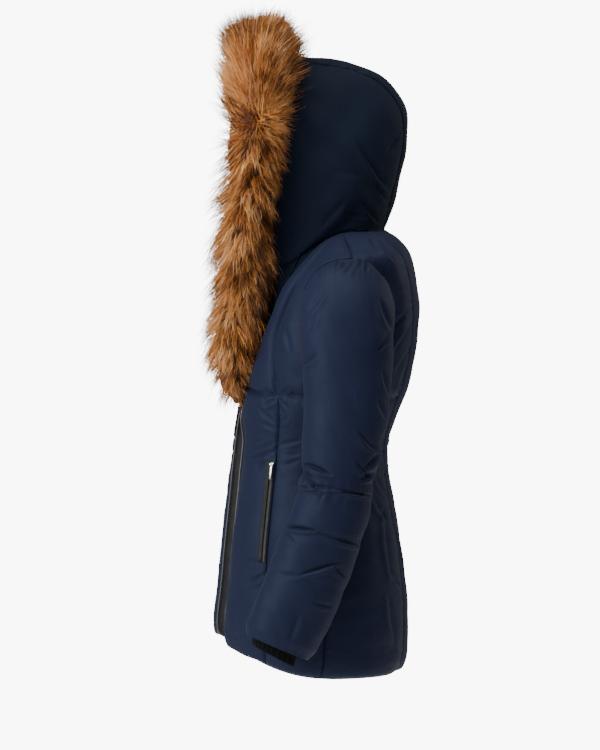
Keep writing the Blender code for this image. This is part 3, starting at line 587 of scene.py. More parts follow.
def makeMetal(name, colour, roughness):
    made, tree, shader = newMaterial(name, colour, roughness, 1.0)
    worn = noiseNode(tree, 260.0, 4.0, 0.6)
    tree.links.new(mathNode(tree, "MULTIPLY_ADD", worn, 0.25, roughness - 0.1), shader.inputs["Roughness"])
    paint(tree, shader, worn, colour, tuple(0.7 * part for part in colour))
    addBump(tree, shader, worn, 0.06, 0.0003)
    return made


shellNylon = makeNylon("navyNylon", nylon["shell"], nylon["shellDeep"])
hoodNylon = makeNylon("darkNavyNylon", nylon["hood"], nylon["hoodDeep"], 0.12, 0.7)
ribKnit = makeKnit()
blackLeather = makeLeather("blackLeather", (0.0055, 0.0055, 0.006), 0.55, 0.2)
# the piping's grey base, far lighter than the black leather, is painted highlight for the shine along the
# facing's glossy edge; its lower roughness and higher shine are real
pipingLeatherPaintedHighlight = makeLeather("blackPipingPaintedHighlight", (0.075, 0.076, 0.080), 0.34, 0.8)
zipCloth = makeTape()
gunMetal = makeMetal("gunMetal", (0.16, 0.16, 0.165), 0.34)
brightMetal = makeMetal("brightMetal", (0.66, 0.66, 0.67), 0.22)
threadMaterial = newMaterial("navyThread", (0.022, 0.028, 0.060), 0.6)[0]
print("materials ready")


# Cloth helpers.

plan = {    # side plan used to place creases: its eye, aim point and unit
    "azimuth": math.radians(84),
    "aim": np.array((0, -75.6, -235)) * mm,
    "distance": 4.5,
    "unit": 1.68 * mm,
    "centre": (300, 375),
}
bothSides = (("left", 1), ("right", -1))     # pieces of the right are made on the left and mirrored


def planPoint(points):                  # position in the side plan
    toward = np.array((math.sin(plan["azimuth"]), -math.cos(plan["azimuth"]), 0.0))
    right = np.array((math.cos(plan["azimuth"]), math.sin(plan["azimuth"]), 0.0))
    rel = points - plan["aim"]
    scale = plan["distance"] / (plan["distance"] - rel @ toward) / plan["unit"]
    return np.stack((plan["centre"][0] + (rel @ right) * scale, plan["centre"][1] - rel[..., 2] * scale), -1)


def creaseDepth(at, rows, shift=(0, 0), gain=1.0):   # troughs, each with a soft ridge beside it, in mm
    total = np.zeros(at.shape[:-1])
    for x0, y0, x1, y1, bow, widest, depth, ridge in rows:
        start = np.array((x0, y0), float) + shift
        end = np.array((x1, y1), float) + shift
        square = np.array((start[1] - end[1], end[0] - start[0]))
        square = square / max(np.hypot(*square), 1e-6)
        middle = (start + end) / 2 + square * bow
        best = np.full(at.shape[:-1], 1e9)
        signed = np.zeros(at.shape[:-1])
        along = np.zeros(at.shape[:-1])
        steps = 8
        path = [(1 - t) ** 2 * start + 2 * t * (1 - t) * middle + t * t * end
                for t in np.linspace(0, 1, steps + 1)]
        for i, (near, far) in enumerate(zip(path, path[1:])):
            way = far - near
            t = np.clip(((at - near) @ way) / max(np.hypot(*way), 1e-6) ** 2, 0, 1)
            off = at - near - t[..., None] * way
            apart = length(off)
            closer = apart < best
            best = np.where(closer, apart, best)
            signed = np.where(closer, apart * np.sign(off[..., 0] * -way[1] + off[..., 1] * way[0]), signed)
            along = np.where(closer, (i + t) / steps, along)
        width = widest * (0.55 + 0.45 * np.sin(math.pi * np.clip(along, 0, 1)))
        ends = np.sin(math.pi * np.clip(along * 0.94 + 0.03, 0, 1)) ** 0.6
        shape = -bell(best / width) + ridge * bell((signed - 1.7 * width) / (1.25 * width))
        total += depth * shape * ends * gain
    return total


def seamPucker(along, off, seed, pitch, reach, depth=1.0):   # short ripples square to a seam, in mm
    rng = np.random.default_rng(seed)
    ripple = 0
    for k in range(4):
        wave = 2 * math.pi / (pitch * rng.uniform(0.65, 1.6))
        ripple = ripple + np.cos((along + off * rng.uniform(-0.5, 0.5)) * wave + rng.uniform(0, 6.3)) / 2
    strong = 1.6
    for longer in (5.3, 8.9):
        strong = strong * np.sin(along * 2 * math.pi / (pitch * longer) + rng.uniform(0, 6.3))
    return depth * ripple * (0.35 + 0.65 * fade(0.5 + strong)) * (off / reach) ** 0.3 * bell(off / reach)


def meshFrom(name, points, faces, material, shown=True):
    mesh = bpy.data.meshes.new(name)
    mesh.from_pydata(points.tolist(), [], faces)
    if material:
        mesh.materials.append(material)
    mesh.shade_smooth()
    made = bpy.data.objects.new(name, mesh)
    if shown:
        scene.collection.objects.link(made)
    return made


def clothShell(name, outer, inner, material, side=1, closed=False):   # a thick cloth between two grids
    stride = body["stride"]             # the inner grid has one point for every stride outer ones
    inner = inner[::stride, ::stride]
    rows, columns = outer.shape[:2]
    innerRows, innerColumns = inner.shape[:2]

    def out(j, i):
        return j * columns + (i % columns if closed else i)

    def back(j, i):
        return rows * columns + j * innerColumns + (i % innerColumns if closed else i)

    outerSpan = columns if closed else columns - 1
    innerSpan = innerColumns if closed else innerColumns - 1
    faces = [(out(j, i), out(j, i + 1), out(j + 1, i + 1), out(j + 1, i))
             for j in range(rows - 1) for i in range(outerSpan)]
    faces += [(back(j + 1, i), back(j + 1, i + 1), back(j, i + 1), back(j, i))
              for j in range(innerRows - 1) for i in range(innerSpan)]
    for i in range(innerSpan):
        low = [out(0, i * stride + k) for k in range(stride + 1)]
        high = [out(rows - 1, i * stride + k) for k in range(stride + 1)]
        faces.append([back(0, i), back(0, i + 1)] + low[::-1])
        faces.append(high + [back(innerRows - 1, i + 1), back(innerRows - 1, i)])
    for j in range(0 if closed else innerRows - 1):
        low = [out(j * stride + k, 0) for k in range(stride + 1)]
        high = [out(j * stride + k, columns - 1) for k in range(stride + 1)]
        faces.append(low + [back(j + 1, 0), back(j, 0)])
        faces.append([back(j, innerColumns - 1), back(j + 1, innerColumns - 1)] + high[::-1])
    points = mirrored(np.concatenate((outer.reshape(-1, 3), inner.reshape(-1, 3))), side)
    corners = points[np.array([face for face in faces if len(face) == 4])]
    ways = corners - corners[:, :1]
    square = np.cross(ways[:, 1], ways[:, 2]) + np.cross(ways[:, 2], ways[:, 3])
    if (square * (corners[:, 0] - points.mean(0))).sum() < 0:       # faces look in, so they are turned
        faces = [tuple(face)[::-1] for face in faces]
    return meshFrom(name, points, faces, material)


def faceOut(piece):                     # turns all faces outward
    shape = bmesh.new()
    shape.from_mesh(piece.data)
    bmesh.ops.recalc_face_normals(shape, faces=shape.faces[:])
    shape.to_mesh(piece.data)
    shape.free()
    return piece


def loopFaces(rows, count):             # faces over rows of closed loops, with both ends shut
    last = (rows - 1) * count
    faces = [(j + i, j + (i + 1) % count, j + count + (i + 1) % count, j + count + i)
             for j in range(0, last, count) for i in range(count)]
    return faces + [tuple(range(count))[::-1], tuple(range(last, last + count))]


def sweptLoop(name, rings, material, side=1):   # closed sections along a path, with flat ends
    faces = loopFaces(*rings.shape[:2])
    return faceOut(meshFrom(name, mirrored(rings.reshape(-1, 3), side), faces, material))


def settle(piece):                      # applies the modifiers and leaves a plain mesh
    evaluated = piece.evaluated_get(bpy.context.evaluated_depsgraph_get())
    mesh = bpy.data.meshes.new_from_object(evaluated)
    piece.modifiers.clear()
    piece.data = mesh
    return piece


def belong(piece, *nodes, slot=None, body="coat"):
    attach(piece, body)
    if nodes:
        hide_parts(*nodes)
    return piece


def repeatTree():               # sets shapes on points: their X runs along alongWay, their Z along outWay
    tree = bpy.data.node_groups.new("repeatOnPoints", "GeometryNodeTree")
    sockets = {"Geometry": "Geometry", "Shapes": "Collection", "Size": "Float", "Material": "Material"}
    for title, kind in sockets.items():
        tree.interface.new_socket(title, in_out="INPUT", socket_type="NodeSocket" + kind)
    tree.interface.new_socket("Geometry", in_out="OUTPUT", socket_type="NodeSocketGeometry")
    inside, outside = tree.nodes.new("NodeGroupInput").outputs, tree.nodes.new("NodeGroupOutput").inputs

    def named(title, kind):
        node = addNode(tree, "GeometryNodeInputNamedAttribute", {"Name": title}, data_type=kind)
        return node.outputs["Attribute"]

    upright = addNode(tree, "FunctionNodeAlignRotationToVector", {"Vector": named("outWay", "FLOAT_VECTOR")},
                      axis="Z")
    turned = addNode(tree, "FunctionNodeAlignRotationToVector", {
        "Rotation": upright.outputs["Rotation"], "Vector": named("alongWay", "FLOAT_VECTOR")},
        axis="X", pivot_axis="Z")
    shapes = addNode(tree, "GeometryNodeCollectionInfo", {
        "Collection": inside["Shapes"], "Separate Children": True, "Reset Children": True})
    placed = addNode(tree, "GeometryNodeInstanceOnPoints", {
        "Points": inside["Geometry"], "Instance": shapes.outputs["Instances"], "Pick Instance": True,
        "Instance Index": named("kind", "INT"), "Rotation": turned.outputs["Rotation"],
        "Scale": mathNode(tree, "MULTIPLY", named("size", "FLOAT"), inside["Size"])})
    real = addNode(tree, "GeometryNodeRealizeInstances", {"Geometry": placed.outputs["Instances"]})
    painted = addNode(tree, "GeometryNodeSetMaterial", {
        "Geometry": real.outputs["Geometry"], "Material": inside["Material"]})
    tree.links.new(painted.outputs["Geometry"], outside["Geometry"])
    return tree


repeatOnPoints = repeatTree()


def shapeSet(*shapes):
    made = bpy.data.collections.new("repeatShapes")
    for shape in shapes:
        made.objects.link(shape)
    return made


def repeated(name, shapes, points, along, out, material, side=1, **own):    # one of the shapes on each point
    mesh = bpy.data.meshes.new(name)
    mesh.from_pydata(mirrored(points, side).tolist(), [], [])
    own = {"size": np.ones(len(points)), "kind": np.zeros(len(points), int), **own}
    for title, values in {"alongWay": mirrored(along, side), "outWay": mirrored(out, side), **own}.items():
        kind = "FLOAT_VECTOR" if values.ndim == 2 else "INT" if title == "kind" else "FLOAT"
        attribute = mesh.attributes.new(title, kind, "POINT")
        attribute.data.foreach_set("vector" if values.ndim == 2 else "value", values.ravel())
    piece = bpy.data.objects.new(name, mesh)
    scene.collection.objects.link(piece)
    repeat = piece.modifiers.new("repeatOnPoints", "NODES")
    repeat.node_group = repeatOnPoints
    values = {"Shapes": shapes, "Size": 1.0, "Material": material}
    for item in repeatOnPoints.interface.items_tree:
        if item.in_out == "INPUT" and item.name in values:
            repeat[item.identifier] = values[item.name]
    settle(piece)
    for title in ("alongWay", "outWay", "size", "kind"):
        if title in piece.data.attributes:
            piece.data.attributes.remove(piece.data.attributes[title])
    piece.data.shade_smooth()
    return piece


# Coat body: down panels of three kinds, sewn edge to edge.

body = {
    "rowStep": 2.9 * mm,
    "stride": 3,
    "wall": 4.5 * mm,
    "seamGap": 0.004 * mm,
    "puff": {"front": 9.0, "side": 6.0, "back": 7.0},       # mm
    "roundness": 2.6,
    "leatherWide": 11.0 * mm,
    "pocketWide": 17.0 * mm,
    "pocketLevels": (3.8, 5.85),
    "seamGroove": (2.2, 3.0),       # depth and half width in mm
    "puckerDepth": 0.6,
    "puckerPitch": 10.0,
    "lump": (0.7, 60 * mm),         # depth in mm and size
    "creaseGain": 2.3,
    "flatCreaseGain": 1.3,
    "closedBelow": 7.1,             # level of the closed zip's top
    "roll": (1.0, 9.0, 80),         # mm that the front's edge rolls in at zip and facing, and the run
    "bulge": (3.5, 38, 20),         # mm on the right front: height, place and half width
    "pocketFade": (0.25, 0.2),      # levels past the pocket's ends
    "levelHigh": 50,                # mm a level at the chest
    "armholeRadius": 75,            # mm, on the average
    "deepest": -2.6,                # mm, of any groove or crease
    "chestLine": {"front": (8.13, 7.78), "side_front": (7.78, 7.60), "side_back": (7.60, 7.60)},    # levels
}

sideCreases = (     # in plan units, depth in mm
    (252, 459, 274, 452, -0.12, 2.2, 1.9, 0.6),
    (258, 471, 267, 461, 0.1, 1.8, 1.1, 0.5),
    (259, 450, 275, 443, 0.1, 2.0, 1.3, 0.5),
    (262, 408, 274, 422, -0.1, 2.0, 1.2, 0.5),
    (266, 423, 276, 430, 0, 1.8, 1.1, 0.5),
    (279, 445, 303, 440, 0.15, 1.8, 1.3, 0.5),
    (280, 457, 303, 454, -0.12, 1.8, 1.0, 0.5),
    (283, 467, 301, 460, -0.1, 1.8, 0.8, 0.5),
    (281, 424, 290, 416, 0.1, 2.0, 0.9, 0.5),
    (262, 388, 277, 397, 0.1, 1.8, 1.8, 0.6),
    (279, 396, 292, 387, 0.1, 1.7, 1.5, 0.6),
    (267, 407, 277, 398, 0.1, 1.6, 1.5, 0.6),
    (279, 399, 289, 408, 0.1, 1.6, 1.6, 0.6),
    (274, 378, 278, 395, 0.05, 1.6, 1.2, 0.5),
    (280, 400, 282, 416, -0.05, 1.6, 1.2, 0.5),
    (283, 398, 298, 394, -0.1, 1.5, 1.0, 0.5),
    (254, 566, 264, 557, 0, 1.8, 1.1, 0.5),
    (250, 585, 264, 575, 0.1, 2.0, 1.4, 0.5),
    (262, 600, 268, 588, 0, 1.8, 0.8, 0.5),
    (404, 311, 391, 332, 0.12, 2.4, 2.0, 0.6),
    (411, 322, 392, 352, 0.12, 2.6, 2.2, 0.6),
    (412, 344, 395, 368, 0.1, 2.4, 1.6, 0.6),
    (405, 366, 396, 392, 0.1, 2.2, 1.2, 0.5),
    (378, 242, 391, 262, -0.15, 2.0, 1.3, 0.5),
    (368, 238, 374, 250, -0.1, 1.8, 1.0, 0.5),
    (384, 455, 389, 474, 0.1, 2.0, 1.4, 0.6),
    (374, 478, 388, 500, 0.1, 2.4, 1.8, 0.6),
    (371, 498, 386, 522, 0.12, 2.6, 2.0, 0.6),
    (382, 510, 389, 582, -0.06, 3.0, 2.4, 0.7),
    (389, 572, 399, 589, 0.1, 2.2, 1.6, 0.6),
    (386, 596, 392, 640, 0.05, 3.0, 1.5, 0.6),
    (393, 468, 396, 500, 0.05, 2.0, 1.1, 0.5),
    (396, 520, 401, 560, 0.04, 2.6, 1.1, 0.5),
    (396, 640, 404, 668, 0.08, 2.4, 1.0, 0.5),
    (330, 262, 316, 282, 0.1, 2.2, 1.4, 0.5),
    (302, 268, 296, 284, 0.1, 1.8, 0.9, 0.5),
    (287, 330, 292, 352, 0.1, 2.4, 1.0, 0.5),
)
frontCreases = (    # x and z in mm over the plan unit, counted from the middle and from the shoulders
    (-96, 272, -64, 262, 0.1, 4.5, 1.3, 0.5),
    (88, 268, 52, 258, -0.1, 4.5, 1.3, 0.5),
    (-60, 345, -28, 337, 0.12, 3.6, 1.5, 0.5),
    (62, 349, 30, 336, -0.12, 3.6, 1.5, 0.5),
    (-58, 365, -22, 356, 0.1, 3.2, 1.1, 0.5),
    (60, 369, 20, 361, -0.1, 3.2, 1.1, 0.5),
    (-70, 560, -40, 545, 0.1, 4.0, 1.0, 0.5),
    (66, 575, 38, 560, -0.1, 4.0, 1.0, 0.5),
)
backCreases = (
    (-80, 150, -52, 196, 0.1, 4.4, 1.6, 0.5),
    (82, 146, 50, 190, -0.1, 4.4, 1.6, 0.5),
    (-44, 330, 6, 341, 0.1, 4.2, 1.8, 0.6),
    (52, 346, 8, 356, 0.1, 4.0, 1.6, 0.6),
    (-60, 372, -12, 367, 0.1, 4.0, 1.4, 0.5),
    (66, 384, 24, 396, -0.1, 3.8, 1.2, 0.5),
    (-30, 40, 24, 46, 0.12, 3.6, 1.0, 0.5),
    (-70, 470, -62, 560, 0.05, 5.0, 1.6, 0.6),
    (74, 486, 66, 590, -0.05, 5.0, 1.6, 0.6),
    (-20, 640, 30, 655, 0.1, 5.0, 1.0, 0.5),
)


def zipClosed(level):                   # 1 on the closed zip, 0 above it
    return fade((body["closedBelow"] - level) / 0.9)


def rolledIn(level, fromEdge, side):    # the left front rolls in beside the closed zip, in mm
    atZip, atFacing, run = body["roll"]
    wide = body["leatherWide"] / mm
    closed = zipClosed(level)
    if side < 0:
        return closed * atZip * (1 - fade(fromEdge / wide))
    return closed * (atZip + atFacing * fade(fromEdge / wide)) * (1 - fade((fromEdge - wide) / run))


def across(part):
    return np.maximum(1 - np.abs(2 * part - 1) ** body["roundness"], 0)


def downFill(level, fromChest=None):    # less at the ends and the waist, and along the chest's quilting line
    full = fade(level / 0.9) * fade((coatTop - level) / 2.5) * (1 - 0.45 * bell((level - 6.0) / 0.9))
    return full if fromChest is None else full * (1 - 0.85 * bell(fromChest / 0.16))


def bodyLevels():
    level = np.linspace(0, coatTop, 1500)
    path = [coatPoint(angle(level), level) for angle in (frontSeam, lambda v: v * 0 + math.pi / 2, backSeam)]
    run = sum(runAlong(line) for line in path) / len(path)
    rows = int(round(run[-1] / body["rowStep"] / body["stride"])) * body["stride"]
    return np.interp(np.linspace(0, run[-1], rows + 1), run, level)


def shapedCreases(base, normal, side, kind):
    shift = (0, 0) if side > 0 else (3.5, -3)
    total = creaseDepth(planPoint(base), sideCreases, shift, body["creaseGain"])
    total = total * fade((normal[..., 0] - 0.1) / 0.4)
    rows, facing = backCreases, normal[..., 1] - 0.3
    if kind == "front":
        rows, facing = frontCreases, -normal[..., 1] - 0.45
    flat = np.stack((base[..., 0], -base[..., 2]), -1) / mm
    return total + creaseDepth(flat, rows, gain=body["flatCreaseGain"]) * fade(facing / 0.3)


def panelSurface(kind, node, side, start, end, columns, seed):
    level = bodyLevels()[:, None]
    part = np.linspace(0, 1, columns + 1)[None, :]
    first, last = start(level), end(level)
    base = coatPoint(first + (last - first) * part, level)
    seam = length(coatPoint(first + 0.01, level) - coatPoint(first, level)) / 0.01
    first = first + body["seamGap"] / 2 / seam
    last = last - body["seamGap"] / 2 / seam
    angle = first + (last - first) * part
    base = coatPoint(angle, level)
    normal = normalOf(coatPoint, angle, np.clip(level, 0.02, coatTop - 0.02) + 0 * part, 0.01)
    fromStart = runAlong(base, 1, mm)
    width = fromStart[:, -1:]
    fromEnd = width - fromStart
    down = runAlong(base, 0, mm)
    if kind == "front":
        facing = np.minimum(body["leatherWide"] / mm / width, 0.3)
        full = across(np.clip((part - facing) / (1 - facing), 0, 1))
        rim = fade((fromStart - body["leatherWide"] / mm) / 5)
    else:
        full = across(part)
        rim = 1.0
    outside = armholeReach(base)
    nearArm = fade((outside - 1.04) / 0.30) if kind != "back" else 1.0
    fromChest = None
    if kind != "back":
        first, last = body["chestLine"][node]
        fromChest = level - first - (last - first) * fade(part)
    puff = body["puff"][kind] * full * downFill(level, fromChest) * nearArm
    pocket = 0.0
    roll = np.zeros(base.shape[:2])
    if kind == "front":
        roll = rolledIn(level, fromStart, side)
        puff = puff * (1 - 0.04 * np.maximum(roll, 0))
        if side < 0:
            high, place, half = body["bulge"]
            puff = puff + high * zipClosed(level) * fade(level / 0.9) * bell((fromStart - place) / half)
        low, high = body["pocketLevels"]
        past, run = body["pocketFade"]
        pocket = fade((level - low + past) / run) * fade((high + past - level) / run)
        pocket = pocket * fade((body["pocketWide"] / mm + 3 - fromEnd) / 3)
        edge = 1 - np.minimum(body["pocketWide"] / mm / width, 0.3)
        atEdge = body["puff"][kind] * across((edge - facing) / (1 - facing)) * downFill(level)
        puff = puff * (1 - pocket) + atEdge * (1 - part) / (1 - edge) * pocket
    depth, wide = body["seamGroove"]
    groove = np.zeros(base.shape[:2])
    ripple = np.zeros(base.shape[:2])
    ends = fade(level / 0.8) * fade((coatTop - level) / 0.8)
    if kind != "front":
        groove += bell(fromStart / wide)
        ripple += seamPucker(down, fromStart, seed, body["puckerPitch"], 15)
    groove += bell(fromEnd / wide)
    ripple += seamPucker(down, fromEnd, seed + 1, body["puckerPitch"] * 1.1, 15)
    if kind != "back":
        groove += bell(fromChest * body["levelHigh"] / wide) * 1.1
        fromLine = np.abs(fromChest) * body["levelHigh"]
        ripple += seamPucker(fromStart + 7 * seed, fromLine, seed + 2, 12, 15) * 2.2
    armSeam = np.abs(outside - 1.0) * body["armholeRadius"]
    if kind == "side":
        around = np.arctan2(base[..., 2] - coat["armholeZ"], base[..., 1] - coat["armholeY"])
        ripple += seamPucker(around * body["armholeRadius"], armSeam, seed + 3, 12, 16) * 1.1
    waist = 1 + 1.1 * bell((level - 6.0) / 0.8)
    lump = waves(base, body["lump"][1], seed + 5) * body["lump"][0] * full * ends
    lump += waves(base * np.array((1, 1, 2.0)), 26 * mm, seed + 6) * 0.2 * full * ends * waist
    detail = (-depth * groove * ends + body["puckerDepth"] * ripple * ends * waist
              + shapedCreases(base, normal, side, kind) * ends + lump)
    offset = puff + detail * rim * (1 - pocket)
    offset = (np.maximum(offset, body["deepest"]) - roll) * mm
    return base + normal * offset[..., None], base - normal * (body["wall"] + roll * mm)[..., None]


def armholeCutter(side):
    turn = fullTurn(144)
    ring = armholeRing(turn)
    near = stack(0 * turn + side * 90 * mm, ring[:, 1], ring[:, 2])
    far = stack(0 * turn + side * 262 * mm, ring[:, 1], ring[:, 2])
    return sweptLoop(f"armholeCutter{side}", np.stack((near, far)), shellNylon)


def makeBody():
    sideSeam = lambda level: np.full(np.shape(level), math.pi / 2)
    for word, side in bothSides:
        seed = 10 if side > 0 else 50
        edge = lambda level, side=side: frontEdge(level, side)
        cutter = armholeCutter(side)
        for kind, node, start, end, columns, shift in (
                ("front", "front_", edge, frontSeam, 60, 0),
                ("side", "side_front_", frontSeam, sideSeam, 51, 7),
                ("side", "side_back_", sideSeam, backSeam, 63, 14)):
            outer, inner = panelSurface(kind, node.strip("_"), side, start, end, columns, seed + shift)
            piece = clothShell(node.replace("_", "") + "Panel_" + word, outer, inner, shellNylon, side)
            if kind == "side":
                cut = piece.modifiers.new("armhole", "BOOLEAN")
                cut.operation = "DIFFERENCE"
                cut.solver = "EXACT"
                cut.object = cutter
                settle(piece)
            belong(piece, node + word, slot="navy_shell")
        bpy.data.objects.remove(cutter)
    farSeam = lambda level: 2 * math.pi - backSeam(level)
    outer, inner = panelSurface("back", "back", 1, backSeam, farSeam, 75, 90)
    piece = clothShell("backPanel", outer, inner, shellNylon)
    belong(piece, "back", slot="navy_shell")
    print("body panels made")


makeBody()


# Sleeves.

sleeveLook = {
    "columns": 150,
    "upperRows": 120,
    "lowerRows": 126,
    "fill": 4.0,                # mm
    "innerFlat": 0.8,
    "lump": (0.6, 52 * mm),
    "creaseGain": 2.6,
    "gather": (80, 9, 9.5, 26, 1.5),        # of each pucker: radius, mm a level, pitch, reach and depth
    "elbowPucker": (58, 45, 12, 14, 0.8),
    "cuffPucker": (48, 40, 9, 12, 0.7),
    "tuck": (0.16, 2.6 * mm, 0.6 * mm),     # levels under the armhole seam, how far in, how deep (left only)
}
sleeveFolds = (     # level, degrees, half height, half width and depth
    (8.35, 300, 0.16, 60, 4.0),
    (7.75, 285, 0.14, 45, 4.5),
    (7.95, 60, 0.15, 50, 5.0),
    (6.9, 75, 0.18, 45, 4.0),
    (9.6, 180, 0.10, 170, 1.6),
    (10.7, 200, 0.10, 120, 1.2),
    (3.6, 60, 0.25, 40, 5.0),
)
sleeveCreases = (
    (303, 462, 331, 476, 0.12, 2.0, 4.2, 0.6),
    (305, 476, 320, 492, -0.12, 1.9, 3.4, 0.6),
    (304, 468, 314, 478, -0.05, 1.8, 1.4, 0.5),
    (299, 486, 340, 489, 0.08, 1.9, 2.2, 0.5),
    (336, 489, 371, 497, -0.05, 1.9, 2.0, 0.5),
    (359, 480, 372, 473, 0.15, 2.0, 2.2, 0.6),
    (363, 470, 377, 453, -0.1, 2.2, 1.8, 0.6),
    (359, 433, 375, 451, 0.1, 2.4, 1.6, 0.6),
    (356, 462, 368, 478, 0.15, 2.0, 1.4, 0.5),
    (284, 527, 316, 531, 0.12, 1.8, 3.0, 0.6),
    (286, 534, 297, 546, -0.1, 1.9, 1.2, 0.5),
    (312, 531, 356, 545, -0.06, 2.2, 1.1, 0.5),
    (338, 540, 357, 545, 0.1, 1.8, 1.4, 0.5),
    (300, 575, 339, 562, 0.08, 2.0, 2.0, 0.6),
    (334, 566, 342, 576, 0.1, 1.9, 1.6, 0.5),
    (280, 574, 302, 577, 0.05, 2.4, 0.9, 0.4),
    (313, 603, 329, 606, 0.1, 2.0, 1.0, 0.5),
    (290, 640, 299, 615, 0.05, 3.0, 0.9, 0.4),
    (305, 318, 325, 293, -0.10, 2.4, 1.7, 0.6),
    (309, 331, 318, 316, -0.10, 2.0, 1.2, 0.5),
    (303, 366, 318, 355, 0.1, 2.2, 1.5, 0.5),
    (303, 384, 311, 396, 0.1, 2.2, 1.2, 0.5),
    (303, 412, 309, 432, -0.1, 2.4, 1.2, 0.5),
    (369, 260, 391, 285, 0.12, 2.2, 1.8, 0.6),
    (378, 300, 390, 330, -0.10, 2.4, 1.8, 0.6),
    (376, 352, 391, 334, 0.10, 2.2, 1.8, 0.6),
    (381, 372, 388, 396, 0.08, 2.4, 1.6, 0.6),
    (376, 400, 384, 420, 0.08, 2.4, 1.1, 0.5),
    (318, 265, 330, 258, 0.1, 1.8, 1.1, 0.5),
    (339, 272, 349, 259, 0.1, 1.9, 1.5, 0.6),
    (346, 276, 353, 262, -0.1, 1.9, 1.7, 0.6),
    (358, 271, 360, 261, 0.05, 1.9, 1.1, 0.5),
    (366, 275, 365, 263, 0.05, 1.9, 1.2, 0.5),
    (306, 285, 316, 270, -0.1, 2.0, 1.3, 0.5),
)


def sleevePucker(name, turn, fromSeam, nearest, seed):
    radius, levelHigh, pitch, reach, depth = sleeveLook[name]
    return seamPucker(turn * radius, fromSeam * levelHigh + nearest, seed, pitch, reach) * depth


def sleeveSurface(levels, side, seed):
    turn = fullTurn(sleeveLook["columns"])[None, :]
    level = levels[:, None] + 0 * turn
    turn = turn + 0 * level
    base = sleevePoint(turn, level)
    tuckLevels, tuckIn, tuckUnder = sleeveLook["tuck"]
    tuck = unit(sleeveMiddle(level) - base) * tuckUnder * (side > 0) - np.array((tuckIn, 0, 0))
    base = base + tuck * fade(1 - level / tuckLevels)[..., None]
    sample = np.clip(level, 0.04, sleeveEnd - 0.04)
    normal = normalOf(sleevePoint, turn, sample, 0.02, sleeveMiddle(sample))
    swell = sleeveLook["fill"] * fade((level - 0.3) / 1.6) * fade((sleeveEnd - level) / 0.5)
    for place, degrees, halfHigh, halfWide, depth in sleeveFolds:
        apart = (np.degrees(turn) - degrees + 180) % 360 - 180
        swell = swell - depth * bell((level - place) / halfHigh) * bell(apart / halfWide)
    innerSide = 0.5 + 0.5 * np.cos(turn)
    flat = 1 - sleeveLook["innerFlat"] * innerSide * fade((4.5 - level) / 1.5)
    swell = swell * flat
    ends = fade(level / 0.25) * fade((sleeveEnd - level) / 0.2)
    creases = creaseDepth(planPoint(base), sleeveCreases, (0, 0) if side > 0 else (2.5, 4),
                          sleeveLook["creaseGain"])
    creases = creases * fade((normal[..., 0] - 0.05) / 0.35)
    around = np.degrees(turn)
    cap = fade(1 - np.abs(around - 182) / 62) * bell((level - 0.5) / 1.5) * fade(level / 0.25)
    gather = sleevePucker("gather", turn, np.abs(level), 0.2, seed)
    ring = sleevePucker("elbowPucker", turn, np.abs(level - sleeve["elbow"]), 0.3, seed + 3)
    cuffEnd = sleevePucker("cuffPucker", turn, np.abs(sleeveEnd - level), 0.3, seed + 4)
    under = bell((level - 0.6) / 1.2) * fade((np.cos(turn) + 0.2) / 0.6)
    lump = waves(base, sleeveLook["lump"][1], seed + 5) * sleeveLook["lump"][0]
    lump = lump + waves(base, 24 * mm, seed + 6) * 0.15
    detail = (creases + (gather * cap * 3.6 + ring + cuffEnd) * ends + lump * ends) * (0.25 + 0.75 * flat)
    detail = detail + gather * under * 0.5 * flat
    return base + normal * ((swell + detail) * mm)[..., None], base - normal * sleeve["wall"]


def makeSleeves():
    for word, side in bothSides:
        seed = 200 if side > 0 else 260
        for name, first, last, rows in (
                ("upper", 0.0, sleeve["elbow"], sleeveLook["upperRows"]),
                ("lower", sleeve["elbow"] + 0.004, float(sleeveEnd), sleeveLook["lowerRows"])):
            outer, inner = sleeveSurface(evenLevels(first, last, rows, sleeveMiddle, 400), side, seed)
            piece = clothShell(f"sleeve{name.title()}_{word}", outer, inner, shellNylon, side, closed=True)
            belong(piece, f"sleeve_{name}_{word}", slot="navy_shell")
    print("sleeves made")


makeSleeves()


# Rib cuffs.

def makeCuffs():
    columns = cuffRib["ribs"] * 6
    turn = fullTurn(columns)
    sewn = cuffRib["sewnAt"] + 0 * turn
    normal = normalOf(sleevePoint, turn, sewn, 0.02, sleeveMiddle(sewn))
    rings = [sleevePoint(turn, sewn) - normal * (sleeve["wall"] + cuffRib["gap"])]
    centres = [sleeveMiddle(sewn)[0]]
    for values in cuffRib["stations"]:
        ring = dict(zip(sleeve["columns"], values))
        rings.append(tubePoint(ring, turn, sleeve["square"]))
        centres.append((tubePoint(ring, 0.0, 2.0) + tubePoint(ring, math.pi, 2.0)) / 2)
    rings = np.stack(rings)
    at = np.linspace(0, len(rings) - 1, 25)
    grid = curveThrough(range(len(rings)), rings.reshape(len(rings), -1), at).reshape(len(at), columns, 3)
    centre = curveThrough(range(len(centres)), np.array(centres), at)[:, None, :]
    toward = unit(centre - grid)
    rib = np.abs(np.sin(turn * cuffRib["ribs"] / 2)) ** 0.8
    split = 0.18 * np.cos(turn * cuffRib["ribs"] * 2)
    raised = (rib + split * (rib > 0.6)) * np.minimum(1, at / 0.6)[:, None]
    roll = 1 - 0.35 * bell((at - at[-1]) / 0.12)[:, None]
    outer = grid + toward * (cuffRib["ribHeight"] * (1 - raised * roll))[..., None]
    inner = grid + toward * (cuffRib["wall"] + cuffRib["ribHeight"])
    for word, side in bothSides:
        piece = clothShell("ribCuff_" + word, outer, inner, ribKnit, side, closed=True)
        belong(piece, "cuff_" + word, slot="black_rib")
    print("cuffs made")


makeCuffs()


# Hood.

